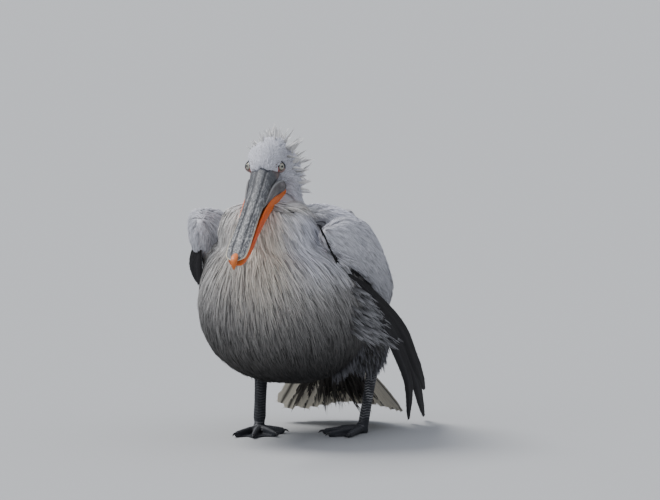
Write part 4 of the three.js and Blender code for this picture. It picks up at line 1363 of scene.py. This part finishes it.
for name, side in SIDES.items():
    centre, axis, long, wide = eye_frame(side)
    off = np.radians(np.concatenate([np.linspace(0, 60, 40), np.linspace(64, 180, 24)]))[:, None]
    spin = np.arange(64)[None, :] * 2 * np.pi / 64
    ray = np.cos(off)[..., None] * axis + np.sin(off)[..., None] * (
        np.cos(spin)[..., None] * long + np.sin(spin)[..., None] * wide
    )
    bulging = EYE_RADIUS - 0.3 + 0.5 * step(np.radians(34), 0, off)
    ball = centre + ray * bulging[..., None]
    degrees = np.degrees(off)[..., None]
    tint = IRIS_PALE * (0.8 + 0.1 * np.sin(spin * 23)[..., None]) * np.ones_like(degrees)
    tint = mix(mix(tint, IRIS_RIM, step(31, 36, degrees)), PUPIL, step(14.5, 12.5, degrees))
    if side < 0:
        ball, tint = ball[:, ::-1], tint[:, ::-1]
    eye = form_piece(f"eyeball_{name}", at_head(ball), eye_finish, tint)
    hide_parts(f"eye_{name}")

    spin = np.arange(96)[None, :] * 2 * np.pi / 96
    share = np.linspace(0, 1, 26)[:, None]
    opening = np.radians(31 + 19 * np.abs(np.cos(spin)) ** 1.6)
    away_from_eye = np.cos(spin)[..., None] * long + np.sin(spin)[..., None] * wide
    lid_share = np.clip(share / 0.35, 0, 1)
    off = opening + np.radians(30) * lid_share
    puff = EYE_RADIUS + 0.1 + (1.7 + 1.9 * np.sin(spin).clip(0)) * np.sin(lid_share * np.pi / 2) ** 0.6
    lid = centre + (np.cos(off)[..., None] * axis + np.sin(off)[..., None] * away_from_eye) * puff[..., None]
    out_share = np.clip((share - 0.35) / 0.65, 0, 1)
    distance = EYE_RADIUS * np.sin(opening + np.radians(30)) + 1 + (bare_reach(spin) - 9) * out_share
    flat = centre + axis * 6 + away_from_eye * distance[..., None]
    onto, onto_up = body.nearest(from_head(flat).reshape(-1, 3))
    onto = to_head(onto + onto_up * 0.3).reshape(flat.shape)
    orbit = mix(lid, onto, step(0.0, 0.75, out_share)[..., None])
    crinkle = 0.25 * np.sin(out_share * 20 + spin * 3) * (1 - out_share)
    orbit = orbit + axis * crinkle[..., None]
    low_front = np.cos(spin - np.radians(135))[..., None]
    upper = np.cos(spin - np.radians(12))[..., None]
    tint = FACE_PINK * np.ones(orbit.shape)
    share = share[..., None]
    above = step(0.1, 0.8, np.sin(spin))[..., None]
    tint = mix(tint, FACE_SLATE, step(0.4, 1.0, share) * above * 0.8)
    tint = mix(tint, CORNER_RED, step(0.7, 0.9, low_front) * step(0.5, 0.2, share))
    tint = mix(tint, LID_DARK, step(-0.5, -0.1, upper) * step(0.42, 0.3, share))
    tint = mix(tint, LID_DARK, step(0.06, 0.0, share) * 0.7)
    if side < 0:
        orbit, tint = orbit[:, ::-1], tint[:, ::-1]
    orbit = form_piece(f"orbit_{name}", at_head(orbit), face_finish, tint)

    inward = 0.0 if side > 0 else 2.5
    plate_spine = np.array([
        [22 - inward, -168, -18], [25 - inward, -125, -20], [28.5 - inward, -86, -23],
        [32 - inward, -56, -29], [36.5 - inward, -24, -39], [38.5 - inward, 8, -54],
    ]) * [side, 1, 1]
    plate = hull_form(
        plate_spine, [0.2 * side, -0.3, -0.93],
        [[0, 3, 1.5, 1.5], [0.2, 7, 2.5, 2.5], [0.4, 11, 3, 3], [0.62, 13.5, 3.5, 3.5], [0.85, 12, 3.5, 3.5],
         [1, 7, 3, 3]],
        ends=(0.5, 0.16), square=2.3,
    )
    around = -np.cos(np.arange(plate.shape[1]) * 2 * np.pi / plate.shape[1])[None, :, None]
    mottle = flake_rng.normal(0, 1, plate.shape[:2])
    for axis_index, passes in ((0, 3), (1, 1)):
        for _ in range(passes):
            mottle = (np.roll(mottle, 1, axis_index) + 2 * mottle + np.roll(mottle, -1, axis_index)) / 4
    mottle = (mottle / mottle.std())[..., None]
    # Painted light: lighter on the plate's upper side and darker below, with a painted highlight along the
    # upper side; the mottle is the horn's own.
    plate_tint = PLATE_GREY * (0.95 + 0.35 * around + 0.3 * mottle)
    plate_tint = mix(plate_tint, HORN_PALE * 0.6, step(0.5, 0.8, around) * step(1.0, 0.85, around))
    plate_tint = mix(plate_tint, HORN_DARK, step(0.88, 1.0, np.abs(around)))
    plate_end = np.linspace(0, 1, plate.shape[0])[:, None, None]
    plate_tint = mix(plate_tint, HORN_DARK, step(0.78, 0.95, plate_end) * 0.8)
    plate = form_piece(f"gape_plate_{name}", at_head(plate), horn_finish, plate_tint)

# ---- legs and feet ---------------------------------------------------------------------------
# Dark scaly skin, drawn tight over the shank and the toes in rings of small scutes, and thin and
# creased in the webs between the toes. The claws are short curved horns.

LEG_DARK = np.array([0.026, 0.028, 0.034])
LEG_PALE = np.array([0.30, 0.30, 0.31])
FEET_AT = {"left": np.array([98.0, 45.0, 0.0]), "right": np.array([-98.0, -45.0, 0.0])}
leg_finish = tinted("leg_skin", 0.5, 700.0, 0.0006, 0.35, specular=0.25)
claw_finish = tinted("claw_horn", 0.35, 500.0, 0.0004, 0.2, specular=0.5)
for name, side in SIDES.items():
    leg = Form([f"foot_{name}", f"tarsus_{name}"], 1.7, 5)
    p, up = leg.places, leg.normals
    away_heel = np.linalg.norm((p - FEET_AT[name])[:, :2], axis=1)
    shank = step(22, 34, p[:, 2])
    ring = np.cos(p[:, 2] * 2 * np.pi / 5.6 + 1.2 * np.sin(p[:, 0] * 0.5))
    toe = step(8.5, 11.5, p[:, 2]) * step(0.1, 0.5, up[:, 2]) * (1 - shank)
    scute = np.cos(away_heel * 2 * np.pi / 4.6)
    crease = np.sin(p[:, 0] * 1.1 + 2 * np.sin(p[:, 1] * 0.21)) * step(0.2, 0.6, up[:, 2])
    crease = crease * (1 - toe) * (1 - shank)
    relief = 0.32 * ring * shank + 0.30 * scute * toe + 0.18 * crease
    grown = p + up * (relief - 0.7 + {"left": 0.3, "right": 2.2}[name] * shank)[:, None]
    grown[:, 2] = np.maximum(grown[:, 2], 0.0)
    piece = quad_mesh(f"leg_{name}", at(grown), leg.quads, leg_finish)
    # Pale on the ridges of the scutes, partly the skin's own pale scales and partly painted highlight, much
    # stronger on the left leg as painted light; the grooves between the rings are painted darker as shade.
    pale_scales_and_highlight = step(0.3, 1.0, ring) * shank + step(0.2, 1.0, scute) * toe
    patchy = 0.5 + 0.5 * np.sin(p[:, 2] * 0.11 + p[:, 0] * 0.3) * np.sin(p[:, 2] * 0.047 + 1)
    lit = {"left": 1.3, "right": 0.35}[name] * patchy * shank + 0.4 * toe
    tint = mix(LEG_DARK, LEG_PALE, (pale_scales_and_highlight * lit)[:, None])
    paint(piece, tint * (1 - 0.35 * step(0.2, 1.0, -ring) * shank)[:, None])
    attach(piece, "root")
    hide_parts(f"foot_{name}", f"tarsus_{name}")

    for toe_name in ("outer", "middle", "inner", "hind"):
        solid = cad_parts[f"claw_{name}_{toe_name}"]
        corners = np.array([v.co[:] for v in solid.data.vertices]) * 1000 + GROUND_MIDDLE
        far = np.linalg.norm((corners - FEET_AT[name])[:, :2], axis=1)
        root = corners[far < far.min() + 2.5].mean(0)
        tip = corners[far > far.max() - 1.5].mean(0)
        thick = (corners[:, 2].max() - corners[:, 2].min()) / 2
        root[2] += 0.4
        middle = (root + tip) / 2 + [0, 0, 1.6]
        tip[2] = min(tip[2], root[2]) - 1.2
        head = unit(tip - root)
        spine = np.array([root - head * 3, root, middle, tip])
        claw_places = hull_form(
            spine, np.cross(head, [0, 0, 1.0]),
            [[0, thick * 0.8, thick * 0.8, thick * 0.8], [0.4, thick * 0.8, thick * 0.9, thick * 0.7],
             [0.8, thick * 0.45, thick * 0.5, thick * 0.4], [1, 0.5, 0.5, 0.4]],
            sides=20, rings=22, ends=(0.2, 0.15),
        )
        claw_places[..., 2] = np.maximum(claw_places[..., 2], 0.2)
        claw = form_piece(f"claw_{name}_{toe_name}_horn", at(claw_places), claw_finish, LEG_DARK * 0.6)
        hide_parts(f"claw_{name}_{toe_name}")
